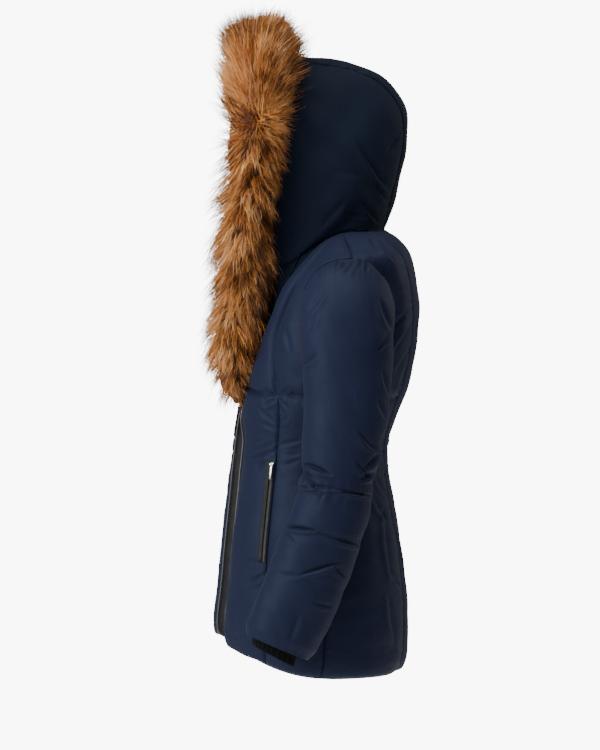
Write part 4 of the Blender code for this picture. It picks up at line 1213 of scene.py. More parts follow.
hoodLook = {
    "rows": 144,
    "sideColumns": 93,
    "gussetColumns": 27,
    "puff": 3.5,
    "groove": (1.8, 2.6),
    "lump": (1.1, 60 * mm),
    "creaseGain": 1.9,
    "lap": 2.2 * mm,            # how far the lower edge hangs over the coat's neck seam
    "seamGap": 0.004 * mm,
    "deepest": -2.4,            # mm, of any groove or crease
}
hoodCreases = (
    (356, 143, 391, 198, -0.06, 2.2, 1.9, 0.8),
    (359, 200, 377, 223, -0.05, 2.0, 1.7, 0.7),
    (375, 186, 390, 207, -0.06, 2.0, 1.5, 0.7),
    (381, 178, 393, 194, 0.1, 2.0, 1.1, 0.5),
    (342, 212, 368, 218, 0.1, 2.2, 0.9, 0.5),
    (330, 172, 372, 176, 0.08, 3.2, 0.6, 0.4),
    (327, 61, 343, 67, 0.1, 2.2, 1.0, 0.5),
    (352, 63, 372, 84, -0.1, 2.4, 1.3, 0.6),
    (362, 63, 377, 76, -0.1, 2.0, 1.0, 0.5),
    (386, 152, 401, 132, 0.12, 2.2, 1.2, 0.5),
    (380, 168, 396, 160, 0.1, 2.0, 1.0, 0.5),
    (388, 212, 396, 196, 0.1, 2.0, 1.0, 0.5),
    (320, 228, 345, 200, -0.1, 4.0, 0.8, 0.4),
)


def hoodSurface(start, end, columns, seed, gusset=False):
    row = np.linspace(0, 1, hoodLook["rows"] + 1)[:, None]
    part = np.linspace(0, 1, columns + 1)[None, :]
    turn = start(row) + (end(row) - start(row)) * part
    row = row + 0 * part
    base = hoodPoint(row, turn)
    base = base - np.array((0, 0, hoodLook["lap"])) * fade((row - 0.975) / 0.025)[..., None]
    normal = normalOf(hoodPoint, np.clip(row, 0.01, 0.99), np.clip(turn, 0.03, 1.97), 0.01, hoodMiddle)
    fromStart = runAlong(base, 1, mm)
    fromEnd = fromStart[:, -1:] - fromStart
    down = runAlong(base, 0, mm)
    ends = fade(row / 0.15) * fade((1 - row) / 0.12)
    depth, wide = hoodLook["groove"]
    groove = bell(fromEnd / wide) + (bell(fromStart / wide) if gusset else 0)
    ripple = seamPucker(down, fromEnd, seed, 13, 14, 0.6)
    if gusset:
        ripple = ripple + seamPucker(down, fromStart, seed + 1, 13, 14, 0.6)
    neck = seamPucker(fromStart, (1 - row) * 280 + 0.3, seed + 2, 14, 18, 0.8)
    lump = waves(base, hoodLook["lump"][1], seed + 5) * hoodLook["lump"][0] * across(part)
    creases = creaseDepth(planPoint(base), hoodCreases, gain=hoodLook["creaseGain"])
    creases = creases * fade((normal[..., 0] - 0.15) / 0.35)
    detail = ripple + neck - depth * groove + creases + lump
    offset = hoodLook["puff"] * across(part) * ends + detail * ends
    offset = np.maximum(offset, hoodLook["deepest"]) * mm
    return base + normal * offset[..., None], base - normal * hood["wall"]


def makeHood():
    def seam(row, gap=hoodLook["seamGap"] / 2):
        return hoodTurnAtX(row, hood["gussetHalf"] + gap)

    def gussetSeam(row):
        return seam(row, -hoodLook["seamGap"] / 2)

    for word, side in bothSides:
        seed = 300 if side > 0 else 340
        outer, inner = hoodSurface(lambda row: 0 * row, seam, hoodLook["sideColumns"], seed)
        piece = clothShell("hoodSide_" + word, outer, inner, hoodNylon, side)
        belong(piece, "hood_" + word, slot="navy_shell")
    outer, inner = hoodSurface(gussetSeam, lambda row: 2 - gussetSeam(row), hoodLook["gussetColumns"], 380,
                               gusset=True)
    piece = clothShell("hoodGusset", outer, inner, hoodNylon)
    belong(piece, "hood_centre", slot="navy_shell")
    print("hood made")


makeHood()


# Collar at the throat.

collarLook = {
    "wall": 2.5 * mm,
    "gap": 0.5 * mm,
    "columns": 72,
    "rows": 30,
    "throatY": -60 * mm,
    "turns": (0.27, 0.06),      # on the hood's form, at the neck and at the throat
    "hoodRows": (0.97, 0.17),
    "drop": (0.5, 3.4),
}
collarCreases = (
    (274, 283, 300, 271, 0.1, 2.0, 1.4, 0.5),
    (272, 292, 290, 281, -0.1, 2.0, 1.2, 0.5),
    (276, 268, 305, 267, 0.0, 1.2, 1.0, 0.5),
    (276, 271, 301, 270, 0.0, 1.2, 1.0, 0.5),
)


def collarUpper(share):
    (neck, throat), (low, high) = collarLook["turns"], collarLook["hoodRows"]
    turn = neck + (throat - neck) * np.minimum(2 * share, 1)
    row = low + (high - low) * np.maximum(2 * share - 1, 0)
    normal = normalOf(hoodPoint, row, turn, 0.01, hoodMiddle)
    return hoodPoint(row, turn) - normal * (hood["wall"] + collarLook["gap"])


def collarLower(share):
    level = coatTop - collarLook["drop"][0] - collarLook["drop"][1] * share
    angle = frontEdge(level, 1)
    normal = normalOf(coatPoint, angle, level, 0.01)
    ahead = unit(coatPoint(angle - 0.01, level) - coatPoint(angle + 0.01, level))
    depth = (body["wall"] + collarLook["gap"]) * (1 - fade(share / 0.5)) + collarLook["gap"]
    return coatPoint(angle, level) + ahead * 1.8 * collarLook["gap"] - normal * depth[..., None]


def collarSurface():
    share = np.linspace(0, 1, collarLook["columns"] + 1)[None, :]
    drop = np.linspace(0, 1, collarLook["rows"] + 1)[:, None]
    upper, lower = collarUpper(share), collarLower(share)
    grid = upper + (lower - upper) * drop[..., None]
    inward = unit(stack(0 * grid[..., 0], 0 * grid[..., 0] + collarLook["throatY"], grid[..., 2]) - grid)
    hollow = 1.3 * np.sin(math.pi * drop) * np.sin(math.pi * share) + waves(grid, 30 * mm, 400) * 0.5
    hollow = hollow + creaseDepth(planPoint(grid), collarCreases)
    ends = np.sin(math.pi * drop) ** 0.5 * np.sin(math.pi * share) ** 0.5
    outer = grid - inward * (hollow * ends * mm)[..., None]
    return outer, grid + inward * collarLook["wall"]


def makeCollar():
    outer, inner = collarSurface()
    for word, side in bothSides:
        piece = clothShell("collarStand_" + word, outer, inner, hoodNylon, side)
        belong(piece, "collar_" + word, slot="navy_shell")
    print("collar made")


makeCollar()


# Fur ruff.

furLook = {
    "core": (0.42, 0.30),       # root surface as a share of the ruff's form, low and at the top
    "whorl": np.array((118, -174, 180)) * mm,       # hair turns away from here on each side
    "whorlLevels": (9.0, 10.4),
    "whorlLocks": 250,          # extra short locks that lie every way over the whorl
    "tufts": {"low": 1500, "high": 1950},
    "split": 9.4,               # level between the low and the high pieces
    "strands": 10,
    "steps": 3,
    "hairWidth": 0.95 * mm,
    "reach": 0.97,              # share of the ruff's form that most hair tips reach
    "hair": (17 * mm, 66 * mm),
    "limits": (-251 * mm, 409 * mm),        # no hair runs farther forward or up
    "longest": 1.32,            # a stray hair's length in its lock
    "spread": (                 # level, half levels, turn, half turn in degrees, more hair and more pile
        (4.9, 1.7, 0, 60, 0.30, 0.54), (3.4, 1.2, 0, 60, 0.16, 0.14), (1.0, 1.0, 0, 70, 0.30, 0.36),
        (1.2, 1.2, 180, 90, 0.42, 0.30), (7.4, 2.2, 180, 70, 0.30, 0.20), (9.8, 2.4, 180, 70, 0.42, 0.22),
        (9.35, 0.9, 180, 60, 0.32, 0.20), (5.5, 1.0, -10, 60, -0.13, 0.0), (11.7, 1.2, -50, 55, -0.13, 0.0),
        (11.4, 1.4, -140, 50, 0.12, 0.0), (5.6, 1.5, 52, 42, 0.0, 0.36), (7.4, 1.7, 52, 42, 0.02, 0.36),
        (9.2, 1.7, 52, 42, 0.08, 0.36), (11.0, 1.3, 55, 50, 0.04, 0.80), (10.7, 1.2, 0, 50, -0.14, 0.0),
        (5.6, 1.6, 90, 42, 0.24, 0.0), (8.0, 1.8, 90, 42, 0.26, 0.0), (10.2, 1.4, 90, 42, 0.16, 0.0),
    ),
    "toneAndPaintedLightSpots": (              # place in the side plan, radius and change of tone: lighter spots are painted highlights, darker ones partly the fur's own dark clumps and partly painted shade
        (234, 82, 21, 0.36), (262, 60, 24, -0.09), (250, 120, 13, -0.22), (268, 150, 12, -0.12),
        (228, 150, 9, -0.10), (250, 185, 14, 0.08), (240, 214, 9, -0.14), (226, 240, 13, 0.14),
        (256, 246, 12, -0.10), (239, 280, 15, -0.32), (266, 90, 18, -0.10), (228, 316, 18, 0.19),
        (256, 310, 15, 0.12), (262, 343, 15, -0.22), (238, 352, 12, -0.06), (220, 352, 12, 0.10),
        (250, 390, 12, 0.24), (236, 372, 8, -0.10), (246, 372, 14, 0.12),
    ),
    "whorlRadius": 34 * mm,
    "drift": 55 * mm,
    "clump": 13 * mm,
    "bend": 0.31,               # the lock's mean bend in radians
    "kinds": 7,
    "seed": 11,
}


def makeTuft(number):           # a lock of ribbon hairs along +Z, bending toward +X, one unit long
    rng = np.random.default_rng(500 + number)
    points, faces, marks = [], [], []
    for strand in range(furLook["strands"]):
        guard = strand == 0             # one long dark guard hair in each lock
        stray = strand < 2
        root = rng.normal(0, 0.085, 2)
        tip = rng.normal(0, 0.13 if stray else 0.05, 2)
        size = rng.uniform(1.1, 1.36) if stray else rng.uniform(0.72, 1.0)
        bend = rng.normal(0.62, 0.12)
        twist = rng.normal(0, 0.7)
        sway = rng.normal(0, 0.035)
        tone = rng.uniform(-0.6, 0.0) if guard else rng.random()
        steps = furLook["steps"]
        start = len(points)
        wide = furLook["hairWidth"] / 0.05 * (1.3 if guard else 0.72 if stray else rng.uniform(0.75, 1.2))
        for i in range(steps + 1):
            t = i / steps
            lean = bend * t
            x = size * (1 - math.cos(lean)) / max(bend, 0.1) + root[0] * (1 - t) + tip[0] * t
            z = size * math.sin(lean) / max(bend, 0.1) if bend > 0.05 else size * t
            y = root[1] * (1 - t) + tip[1] * t + sway * math.sin(3.1 * t)
            turn = twist * (0.4 + t)
            half = 0.5 * wide * (0.75 + 0.5 * t) * (1 - t ** 3)
            side = np.array((-math.sin(turn) * 0.6, math.cos(turn), math.sin(turn) * 0.6)) * half
            middle = np.array((x, y, z))
            if i < steps:
                points += [middle - side, middle + side]
                marks += [(tone, t), (tone, t)]
            else:
                points.append(middle)
                marks.append((tone, t))
        for k in range(start, start + 2 * steps - 2, 2):
            faces.append((k, k + 1, k + 3, k + 2))
        faces.append((start + 2 * steps - 2, start + 2 * steps - 1, start + 2 * steps))
    made = meshFrom(f"furTuft{number}", np.array(points), faces, None, shown=False)
    uv = made.data.uv_layers.new(name="OFBake")
    for loop in made.data.loops:
        uv.data[loop.index].uv = marks[loop.vertex_index]
    return made


def furMaterial():              # colour runs along each hair: dark root, gold middle, some dark tips
    made, tree, shader = newMaterial("foxFur", (0.42, 0.17, 0.05), 0.55, Specular_IOR_Level=0.22,
                                     Sheen_Weight=0.06, Sheen_Roughness=0.4)
    uv = addNode(tree, "ShaderNodeUVMap", {}, uv_map="OFBake").outputs["UV"]
    marks = addNode(tree, "ShaderNodeSeparateXYZ", {"Vector": uv}).outputs      # X tone, Y runs up the hair

    def ramp(stops):
        node = addNode(tree, "ShaderNodeValToRGB", {"Fac": marks["X"]})
        for i, (place, colour) in enumerate(stops):
            stop = node.color_ramp.elements[i] if i < 2 else node.color_ramp.elements.new(place)
            stop.position = place
            stop.color = (*colour, 1.0)
        return node.outputs["Color"]

    def between(low, high):
        share = {"Value": marks["Y"], "From Min": low, "From Max": high}
        return addNode(tree, "ShaderNodeMapRange", share).outputs["Result"]

    middle = ramp(((0.0, (0.055, 0.020, 0.008)), (1.0, (0.96, 0.60, 0.29)), (0.22, (0.24, 0.064, 0.010)),
                   (0.45, (0.62, 0.205, 0.028)), (0.70, (0.86, 0.37, 0.085))))
    tips = ramp(((0.0, (0.012, 0.008, 0.006)), (1.0, (0.92, 0.68, 0.42)), (0.32, (0.030, 0.013, 0.007)),
                 (0.40, (0.50, 0.18, 0.035)), (0.8, (0.84, 0.46, 0.17))))
    colour = mixColour(tree, between(0.05, 0.42), (0.075, 0.032, 0.015), middle)
    paint(tree, shader, between(0.68, 0.98), colour, tips)
    return made


foxFur = furMaterial()


def furSpread(level, turn, pile=False):     # how far past the ruff's form the fur swells
    total = 0
    for place, halfLevels, degrees, halfDegrees, hair, short in furLook["spread"]:
        apart = (np.degrees(turn) - degrees + 180) % 360 - 180
        swell = bell((level - place) / halfLevels) * bell(apart / halfDegrees)
        total = total + (short if pile else hair) * swell
    return total


def furCore(level):
    low, top = furLook["core"]
    return low + (top - low) * fade((level - 8.5) / 3)


def furPoints(low, high, count, seed):
    rng = np.random.default_rng(seed)
    level = rng.uniform(low, high, count * 3)
    ring = ruffRing(level)
    weight = ring["halfDeep"] + ring["halfHigh"]
    weight = weight * length(ruffCentre(level + 0.02) - ruffCentre(level - 0.02))
    level = level[rng.random(len(level)) < weight / weight.max()][:count]
    turn = rng.uniform(0, 2 * math.pi, len(level))
    extra = rng.uniform(*furLook["whorlLevels"], furLook["whorlLocks"])
    extra = extra[(extra >= low) & (extra < high)]
    level = np.concatenate((level, extra))
    turn = np.concatenate((turn, rng.uniform(-3.3, -0.5, len(extra))))
    core = furCore(level)
    middle = ruffCentre(level)
    form = ruffPoint(level, turn)
    root = middle + (form - middle) * core[:, None]
    radial = unit(form - root)
    away = root - furLook["whorl"]
    away = away * np.array((0.25, 1.0, 1.0)) + np.array((12, 0, 0)) * mm
    offset = root - furLook["whorl"]
    nearWhorl = bell(length(offset) / furLook["whorlRadius"])[:, None]      # a parting, with locks across it
    under = (offset[:, 2] < rng.normal(0, 9 * mm, len(level)))[:, None]
    parting = np.where(under, (0.0, 0.75, -0.65), (0.0, -0.30, 0.95)) + rng.normal(0, 0.5, root.shape)
    lying = np.maximum(length(away) / (length(away) + 8 * mm), 1.7 * nearWhorl[:, 0])
    lying[len(level) - len(extra) // 3:] *= 0.2        # a few short hairs stand straight out of the whorl
    drift = np.stack([waves(root, furLook["drift"], seed + 30 + k) for k in range(3)], -1)
    clump = np.stack([waves(root, furLook["clump"] * 1.6, seed + 40 + k) for k in range(3)], -1)
    comb = unit(away) * (1 - nearWhorl) + 1.1 * parting * nearWhorl
    comb = comb + 0.16 * drift + 0.20 * clump + rng.normal(0, 0.06, root.shape)
    comb = comb - radial * (comb * radial).sum(-1)[:, None]
    comb = unit(comb)
    start = unit(radial + (0.70 * lying)[:, None] * comb + 0.10 * drift)
    bent = unit(comb - start * (comb * start).sum(-1)[:, None])
    mean = start * math.cos(furLook["bend"]) + bent * math.sin(furLook["bend"])
    ring = ruffRing(level)
    flatRoot = np.stack((np.cos(turn), np.sin(turn)), -1) * core[:, None]
    flatWay = np.stack([(mean * way).sum(-1) / ring[half] / mm
                        for way, half in zip(ruffWays(level), ("halfDeep", "halfHigh"))], -1)
    target = (furLook["reach"] + furSpread(level, turn)) * (1 + 0.05 * clump[:, 0] + 0.03 * drift[:, 1])
    wayWay = (flatWay * flatWay).sum(-1)        # the hair's line meets the swollen form's oval
    wayRoot = (flatWay * flatRoot).sum(-1)
    rootRoot = (flatRoot * flatRoot).sum(-1) - target ** 2
    size = np.sqrt(np.maximum(wayRoot * wayRoot - wayWay * rootRoot, 0)) - wayRoot
    size = size / np.maximum(wayWay, 1e-9) * rng.uniform(0.83, 1.10, len(level))
    size = np.clip(size, *furLook["hair"]) * (1 - 0.25 * nearWhorl[:, 0])
    for axis, way, limit in zip((1, 2), (-1, 1), furLook["limits"]):
        heading = way * mean[:, axis]
        room = way * (limit - root[:, axis]) / np.maximum(heading, 0.05) / furLook["longest"]
        size = np.where(heading > 0.05, np.minimum(size, room), size)
    # tone is a little lighter toward the top and varies at random; the spots below add painted highlights
    # and painted shade as well as the fur's own dark clumps
    height = np.clip((root[:, 2] / mm + 280) / 580, 0, 1)
    tone = (0.55 + 0.02 * fade((height - 0.55) / 0.4) + 0.13 * waves(root, 17 * mm, seed + 50)
            + 0.09 * waves(root, 38 * mm, seed + 51) + rng.normal(0, 0.12, len(level)))
    at = planPoint(root + start * size[:, None] * 0.6)
    for x, y, radius, change in furLook["toneAndPaintedLightSpots"]:
        tone = tone + 1.5 * change * bell(np.hypot(at[:, 0] - x, at[:, 1] - y) / radius)
    return root, start, comb, size, tone


def makeFur():
    locks = shapeSet(*(makeTuft(number) for number in range(furLook["kinds"])))
    for word, side in bothSides:
        for part, low, high in (("low", 0.25, furLook["split"]), ("high", furLook["split"], float(ruffTop))):
            seed = furLook["seed"] + (0 if side > 0 else 400) + (0 if part == "low" else 100)
            root, start, comb, size, tone = furPoints(low, high, furLook["tufts"][part], seed)
            kinds = np.random.default_rng(seed + 7).integers(0, furLook["kinds"], len(root))
            piece = repeated(f"furLocks_{part}_{word}", locks, root, comb, start, foxFur, side,
                             size=size, kind=kinds, tone=tone)
            toneFur(piece)
            belong(piece, slot="fur")
    makeUndercoat()
    print("fur made")


def toneFur(piece):             # mixes each lock's tone, its own colour together with the painted highlights and painted shade of the spots, into its hairs' tone
    mesh = piece.data
    uv = mesh.uv_layers.get("OFBake") or mesh.uv_layers[0]
    lock = np.zeros(len(mesh.vertices))
    mesh.attributes["tone"].data.foreach_get("value", lock)
    corner = np.zeros(len(mesh.loops), int)
    mesh.loops.foreach_get("vertex_index", corner)
    marks = np.zeros(len(mesh.loops) * 2)
    uv.data.foreach_get("uv", marks)
    marks = marks.reshape(-1, 2)
    marks[:, 0] = np.clip(lock[corner] + 0.62 * (marks[:, 0] - 0.5), 0.02, 0.98)
    uv.data.foreach_set("uv", marks.ravel())
    mesh.attributes.remove(mesh.attributes["tone"])


def makeUndercoat():            # short pile that closes the ruff behind the locks; its dark colour is partly the fur's own darker underfur and partly painted shade for the depth between the locks
    level = np.linspace(0.12, 2 * ruffTop - 0.12, 260)[:, None]
    turn = fullTurn(72)[None, :]
    level, turn = level + 0 * turn, turn + 0 * level
    fromTip = np.minimum(level, 2 * ruffTop - level)
    middle = ruffCentre(level)
    share = furCore(fromTip) + 0.06 + furSpread(fromTip, turn, pile=True)
    base = middle + (ruffPoint(level, turn) - middle) * share[..., None]
    bump = waves(base, 16 * mm, 61) * 2.0 + waves(base, 7 * mm, 62) * 0.9
    base = base + unit(base - middle) * (bump * mm)[..., None]
    made, tree, shader = newMaterial("furUndercoat", (0.09, 0.034, 0.012), 0.9)
    pile = noiseNode(tree, 420.0, 4.0, 0.6, (1, 1, 0.25))
    # dark brown pile colours: partly painted shade in the gaps between the locks and at the whorl
    paint(tree, shader, pile, (0.018, 0.007, 0.004), (0.15, 0.050, 0.015))
    addBump(tree, shader, pile, 0.8, 0.002)
    belong(sweptLoop("furUndercoat", base, made), "fur_ruff", slot="fur")


makeFur()


# Zips, leather facings, pocket welts and stitches.

trim = {
    "facingLevels": (0.0, 7.85),
    "facingRows": 150,
    "facingLoop": (     # mm from the front's edge and mm above the panel
        (0.15, 0.35), (0.0, 0.8), (0.1, 1.35), (0.5, 1.8), (1.3, 2.0), (3.5, 1.95), (6.0, 1.9), (7.6, 1.7),
        (8.3, 1.35), (8.9, 1.25), (9.2, 0.8), (9.0, 0.35), (5.0, 0.3),
    ),
    "pipingAt": (10.2, 1.65),
    "pipingRadius": 1.45,
    "stitchAt": (7.4, 1.78),
    "stitchPitch": 3.4 * mm,
    "collarRows": (266.0, 269.5),       # heights in the side plan
    "tapeLevels": (0.0, 8.0),
    "tapeReach": (0.15, 7.0),
    "tapeSunk": 0.6 * mm,
    "toothPitch": 2.7 * mm,
    "pocketPitch": 1.5 * mm,
    "weltLoop": (       # mm from the pocket's front edge and mm above the panel
        (0.1, 0.35), (-0.2, 1.0), (0.0, 1.8), (0.6, 2.45), (1.6, 2.7), (3.5, 2.65), (5.6, 2.6), (7.2, 2.7),
        (8.1, 2.45), (8.55, 1.8), (8.5, 0.9), (8.1, 0.35), (4.0, 0.3),
    ),
    "weltRows": 60,
    "pocketZip": (9.2, 15.6, 0.3, 1.3),     # mm from the pocket's front edge, and its under and upper side
}


def facingPoint(level, reach, lift, side):  # reach from the front's edge and lift above the panel, in mm
    first = frontEdge(level, side)
    perAngle = length(coatPoint(first + 0.01, level) - coatPoint(first, level)) / 0.01
    angle = first + (reach * mm + body["seamGap"]) / perAngle
    safe = np.clip(level, 0.02, coatTop - 0.02)
    normal = normalOf(coatPoint, angle, safe, 0.01)
    return coatPoint(angle, level) + normal * ((lift - rolledIn(level, reach, side)) * mm)[..., None]


def pocketFrame(level):                     # the pocket's front and rear edges, and the way out of the cloth
    first, last = frontEdge(level, 1), frontSeam(level)
    between = first[:, None] + (last - first)[:, None] * np.linspace(0, 1, 60)
    run = length(np.diff(coatPoint(between, level[:, None]), axis=1)).sum(1)
    edge = 1 - body["pocketWide"] / run
    facing = body["leatherWide"] / run
    angle = first + (last - first) * edge
    normal = normalOf(coatPoint, angle, level, 0.01)
    puff = body["puff"]["front"] * across((edge - facing) / (1 - facing)) * downFill(level)
    start = coatPoint(angle, level) + normal * (puff * mm)[:, None]
    end = coatPoint(last, level)
    along = np.gradient(start, axis=0)
    out = unit(np.cross(end - start, along))
    out = out * np.where((out * normal).sum(-1) < 0, -1.0, 1.0)[:, None]
    return start, end, out


def pocketPoint(level, reach, lift):
    start, end, out = pocketFrame(level)
    share = np.asarray(reach) * mm / body["pocketWide"]
    return start[:, None] + (end - start)[:, None] * share[:, None] + out[:, None] * (lift * mm)[:, None]


def zipMiddle(level, reach=0.0, ahead=0.0):     # on the closed zip, reach to the left of its middle, in mm
    ahead = ahead - rolledIn(level, 0.0, 1)
    ring = coatRing(level)
    x = zipLine(level) + reach * mm
    angle = angleAtX(ring, np.abs(x) / mm)
    return coatPoint(angle, level) * stack(np.sign(x + 1e-9), 1.0, 1.0) - stack(0.0, ahead * mm, 0.0)


def chamferedBlock(name, sizes, bevel):
    shape = bmesh.new()
    bmesh.ops.create_cube(shape, size=1.0)
    for vert in shape.verts:
        vert.co = Vector([vert.co[i] * sizes[i] * mm for i in range(3)])
    if bevel:
        bmesh.ops.bevel(shape, geom=shape.edges[:], offset=bevel * mm, segments=1, affect="EDGES")
    mesh = bpy.data.meshes.new(name)
    shape.to_mesh(mesh)
    shape.free()
    mesh.materials.append(gunMetal)
    mesh.shade_smooth()
    return shapeSet(bpy.data.objects.new(name, mesh))


def threadStitch(name, long, radius):       # a short thread along X, sunk at both ends
    turn = fullTurn(6)
    sections = ((-0.5, 0.25, -0.5), (-0.3, 0.9, 0.1), (0.3, 0.9, 0.1), (0.5, 0.25, -0.5))
    rings = [stack(x * long, np.cos(turn) * wide * radius, np.sin(turn) * wide * radius + lift * radius)
             for x, wide, lift in sections]
    points = np.concatenate(rings) * mm
    faces = loopFaces(len(sections), len(turn))
    return shapeSet(meshFrom(name, points, faces, threadMaterial, shown=False))


def readAlong(at, run, rows):
    return np.stack([np.interp(at, run, rows[:, k]) for k in range(3)], -1)


def evenPoints(path, pitch):    # points, directions and shares at even steps along a polyline
    run = runAlong(path)
    count = max(int(run[-1] / pitch), 2)
    at = (np.arange(count) + 0.5) / count * run[-1]
    way = readAlong(at + pitch / 4, run, path) - readAlong(at - pitch / 4, run, path)
    return readAlong(at, run, path), unit(way), at / run[-1]


def makeFacings():
    loop = np.array(trim["facingLoop"])
    stitch = threadStitch("facingStitch", 2.3, 0.26)
    for word, side in bothSides:
        edge = lambda level, side=side: facingPoint(level, 0.0, 0 * level, side)
        level = evenLevels(*trim["facingLevels"], trim["facingRows"], edge)
        level = level[:, None]
        uneven = waves(coatPoint(frontEdge(level, side), level), 30 * mm, 720 + side) * 0.10
        rings = facingPoint(level + 0 * loop[:, 0], loop[:, 0] + 0 * level, loop[:, 1] * (1 + uneven), side)
        band = sweptLoop("zipFacing_" + word, rings, blackLeather, side)
        belong(band, "zip_facing_" + word, slot="black_leather")
        turn = fullTurn(12)
        reach = trim["pipingAt"][0] + trim["pipingRadius"] * np.cos(turn) + 0 * level
        lift = trim["pipingAt"][1] + trim["pipingRadius"] * np.sin(turn) * 0.9 * (1 + uneven)
        rings = facingPoint(level + 0 * turn, reach, lift, side)
        belong(sweptLoop("zipPiping_" + word, rings, pipingLeatherPaintedHighlight, side), slot="black_leather")
        level = level[:, 0]
        line = facingPoint(level, trim["stitchAt"][0], trim["stitchAt"][1] + 0 * level, side)
        points, along, share = evenPoints(line[::-1], trim["stitchPitch"])
        at = np.interp(1 - share, np.linspace(0, 1, len(level)), level)
        out = normalOf(coatPoint, frontEdge(at, side), at, 0.01)
        belong(repeated("facingStitches_" + word, stitch, points, along, out, threadMaterial, side))


def makeFrontZip():
    tooth = chamferedBlock("zipTooth", (1.25, 3.0, 1.9), 0.3)
    for word, side in bothSides:
        level = evenLevels(*trim["tapeLevels"], 130, zipMiddle)
        near, far = (side * reach for reach in trim["tapeReach"])
        band = ((near, 0.0), (near + 0.4 * (far - near), 0.15), (far, 0.0), (far, -2.0), (near, -2.0))
        rings = np.stack([zipMiddle(level, reach, ahead) for reach, ahead in band], 1)
        tape = sweptLoop("zipTape_" + word, rings + np.array((0, trim["tapeSunk"], 0)), zipCloth)
        belong(tape, "zip_tape_" + word, slot="zip_tape")
        points, along, share = evenPoints(zipMiddle(level, side * 1.05, -0.1), trim["toothPitch"])
        points = points + along * (trim["toothPitch"] / 2 if side < 0 else 0.0)
        out = unit(np.cross(along, np.array((-1.0, 0, 0))))
        out = out * np.where(out[:, 1] > 0, -1.0, 1.0)[:, None]
        belong(repeated("zipTeeth_" + word, tooth, points, along, out, gunMetal), slot="dark_metal")


def makePockets():
    loop = np.array(trim["weltLoop"])
    low, high, under, upper = trim["pocketZip"]
    middle = (low + high) / 2
    band = np.array(((low, under), (low, upper), (middle, upper + 0.1), (high, upper), (high, under)))
    tooth = chamferedBlock("pocketTooth", (0.8, 1.7, 1.1), 0.0)
    stitch = threadStitch("weltStitch", 1.9, 0.22)
    level = evenLevels(*body["pocketLevels"], trim["weltRows"], lambda at: coatPoint(frontSeam(at), at))
    ends = np.linspace(0, 1, len(level))
    full = np.minimum(1, np.minimum(ends, 1 - ends) / 0.012 + 0.45)
    outs = pocketFrame(level)[2]

    def pocketRow(reach, lift, pitch):
        line = pocketPoint(level, np.array((reach,)), np.array((lift,)))[:, 0]
        points, along, share = evenPoints(line, pitch)
        return points, along, readAlong(share, ends, outs)

    for word, side in bothSides:
        flat = pocketPoint(level, loop[:, 0], loop[:, 1] * 0 + 0.3)
        rings = flat + (pocketPoint(level, loop[:, 0], loop[:, 1]) - flat) * full[:, None, None]
        welt = sweptLoop("pocketWelt_" + word, rings, blackLeather, side)
        belong(welt, "pocket_welt_" + word, slot="black_leather")
        tape = sweptLoop("pocketZipTape_" + word, pocketPoint(level, band[:, 0], band[:, 1]), zipCloth, side)
        belong(tape, "pocket_zip_" + word, slot="zip_tape")
        near, far = (pocketRow(middle + half, upper + 0.45, trim["pocketPitch"]) for half in (-0.55, 0.55))
        far = (far[0] + far[1] * (trim["pocketPitch"] / 2), *far[1:])
        rows = (np.concatenate(pair) for pair in zip(near, far))
        belong(repeated("pocketTeeth_" + word, tooth, *rows, gunMetal, side), slot="dark_metal")
        row = pocketRow(1.6, 2.72, trim["stitchPitch"] * 0.85)
        belong(repeated("weltStitches_" + word, stitch, *row, threadMaterial, side))


def makeCollarStitches():       # two rows across each collar half
    outer = collarSurface()[0]
    down = planPoint(outer)[..., 1]
    stitch = threadStitch("collarStitch", 2.0, 0.24)
    rows = []
    for height in trim["collarRows"]:
        path = [[np.interp(height, down[:, i], outer[:, i, k]) for k in range(3)]
                for i in range(outer.shape[1]) if down[0, i] < height < down[-1, i]]
        points, along, share = evenPoints(np.array(path), trim["stitchPitch"] * 0.8)
        out = unit((points - np.array((0, collarLook["throatY"], 0))) * np.array((1, 1, 0)))
        rows.append((points, along, out))
    rows = [np.concatenate(values) for values in zip(*rows)]
    for word, side in bothSides:
        belong(repeated("collarStitches_" + word, stitch, *rows, threadMaterial, side))


def makeSliders():              # sliders and pulls with softened edges
    for node, slot, material, bevel in (
            ("main_slider", "dark_metal", gunMetal, 0.45),
            ("main_pull", "black_leather", blackLeather, 0.5),
            ("pocket_slider_left", "bright_metal", brightMetal, 0.3),
            ("pocket_slider_right", "bright_metal", brightMetal, 0.3),
            ("pocket_pull_left", "bright_metal", brightMetal, 0.3),
            ("pocket_pull_right", "bright_metal", brightMetal, 0.3)):
        source = bpy.data.objects[node]
        mesh = source.data.copy()
        mesh.transform(source.matrix_world)
        mesh.materials.clear()
        mesh.materials.append(material)
        first, *words = node.split("_")
        piece = bpy.data.objects.new(first + "".join(word.title() for word in words), mesh)
        scene.collection.objects.link(piece)
        shape = bmesh.new()
        shape.from_mesh(mesh)
        bmesh.ops.remove_doubles(shape, verts=shape.verts[:], dist=0.01 * mm)
        bmesh.ops.dissolve_limit(shape, angle_limit=math.radians(2), verts=shape.verts[:],
                                 edges=shape.edges[:])
        shape.to_mesh(mesh)
        shape.free()
        soften = piece.modifiers.new("soften", "BEVEL")
        soften.width = bevel * mm
        soften.segments = 2
        soften.limit_method = "ANGLE"
        soften.angle_limit = math.radians(40)
        settle(piece)
        piece.data.shade_smooth()
        belong(piece, node, slot=slot, body=node if "pull" in node else "coat")


makeFacings()
makeFrontZip()
makePockets()
makeCollarStitches()
makeSliders()
print("trims made")


# Floor, light and camera.

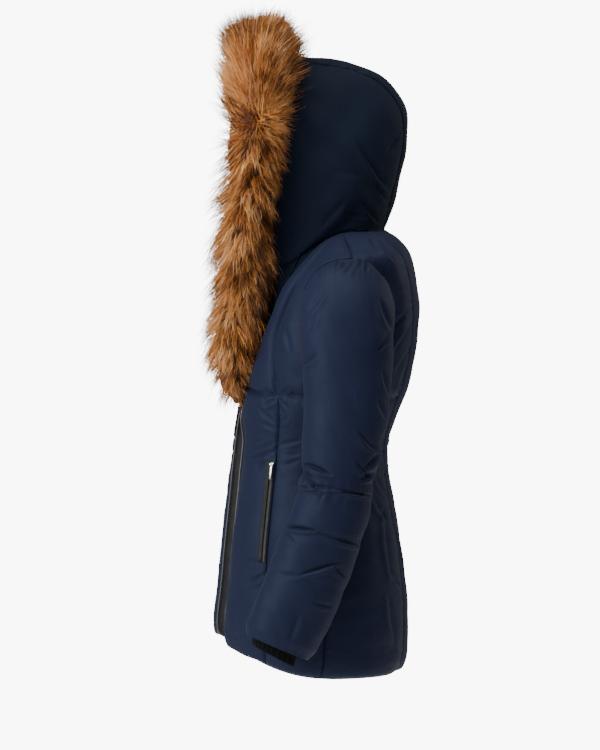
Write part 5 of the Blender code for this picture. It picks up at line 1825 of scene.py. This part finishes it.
studio = {
    "room": 0.17,
    "backdrop": 9.0,
    "floorGlow": 0.35,
    "floorRadius": 3.2,
    "floorZ": -1.45,
    "lights": (     # name, place, aim, size, watts
        ("keyLight", (2.1, -3.3, 1.2), (0, 0, -0.15), (1.8, 2.4), 172),
        ("topLight", (0.9, -0.5, 2.6), (0, 0, 0), (2.0, 2.0), 78),
        ("backLight", (-0.9, 3.0, 1.0), (0, 0, -0.1), (1.2, 2.0), 18),
    ),
}


def addArea(name, place, target, size, watts):
    light = bpy.data.lights.new(name, "AREA")
    light.shape = "RECTANGLE"
    light.size, light.size_y = size
    light.energy = watts
    made = bpy.data.objects.new(name, light)
    made.location = place
    made.rotation_euler = (Vector(target) - Vector(place)).to_track_quat("-Z", "Y").to_euler()
    scene.collection.objects.link(made)


def makeStage():
    turn = fullTurn(96)
    radius = studio["floorRadius"]
    ring = stack(radius * np.cos(turn), radius * np.sin(turn), studio["floorZ"])
    paleFloor = newMaterial("paleFloor", (0.9, 0.9, 0.9), 0.9, Emission_Color=(1.0, 1.0, 1.0, 1.0),
                            Emission_Strength=studio["floorGlow"])[0]
    floor = meshFrom("studioFloor", ring, [tuple(range(len(turn)))], paleFloor)
    world = bpy.data.worlds.new("studioLight")
    world.use_nodes = True
    tree = world.node_tree
    seen = tree.nodes.new("ShaderNodeLightPath").outputs["Is Camera Ray"]
    room = studio["room"]               # a white backdrop in a dimmer, softly lit room
    strength = mathNode(tree, "MULTIPLY_ADD", seen, studio["backdrop"] - room, room)
    tree.links.new(strength, tree.nodes["Background"].inputs["Strength"])
    tree.nodes["Background"].inputs["Color"].default_value = (1.0, 1.0, 1.0, 1.0)
    scene.world = world
    for light in studio["lights"]:
        addArea(*light)


def makeCamera():
    camera = bpy.data.cameras.new("sideView")
    camera.sensor_fit = "VERTICAL"
    camera.sensor_height = 36
    camera.lens = camera.sensor_height * plan["distance"] / (2 * plan["centre"][1] * plan["unit"])
    made = bpy.data.objects.new("sideView", camera)
    back = Vector((math.sin(plan["azimuth"]), -math.cos(plan["azimuth"]), 0))
    made.location = Vector(plan["aim"]) + back * plan["distance"]
    made.rotation_euler = (-back).to_track_quat("-Z", "Y").to_euler()
    camera.clip_end = 200
    scene.collection.objects.link(made)
    scene.camera = made


makeStage()
makeCamera()
bpy.context.view_layer.update()
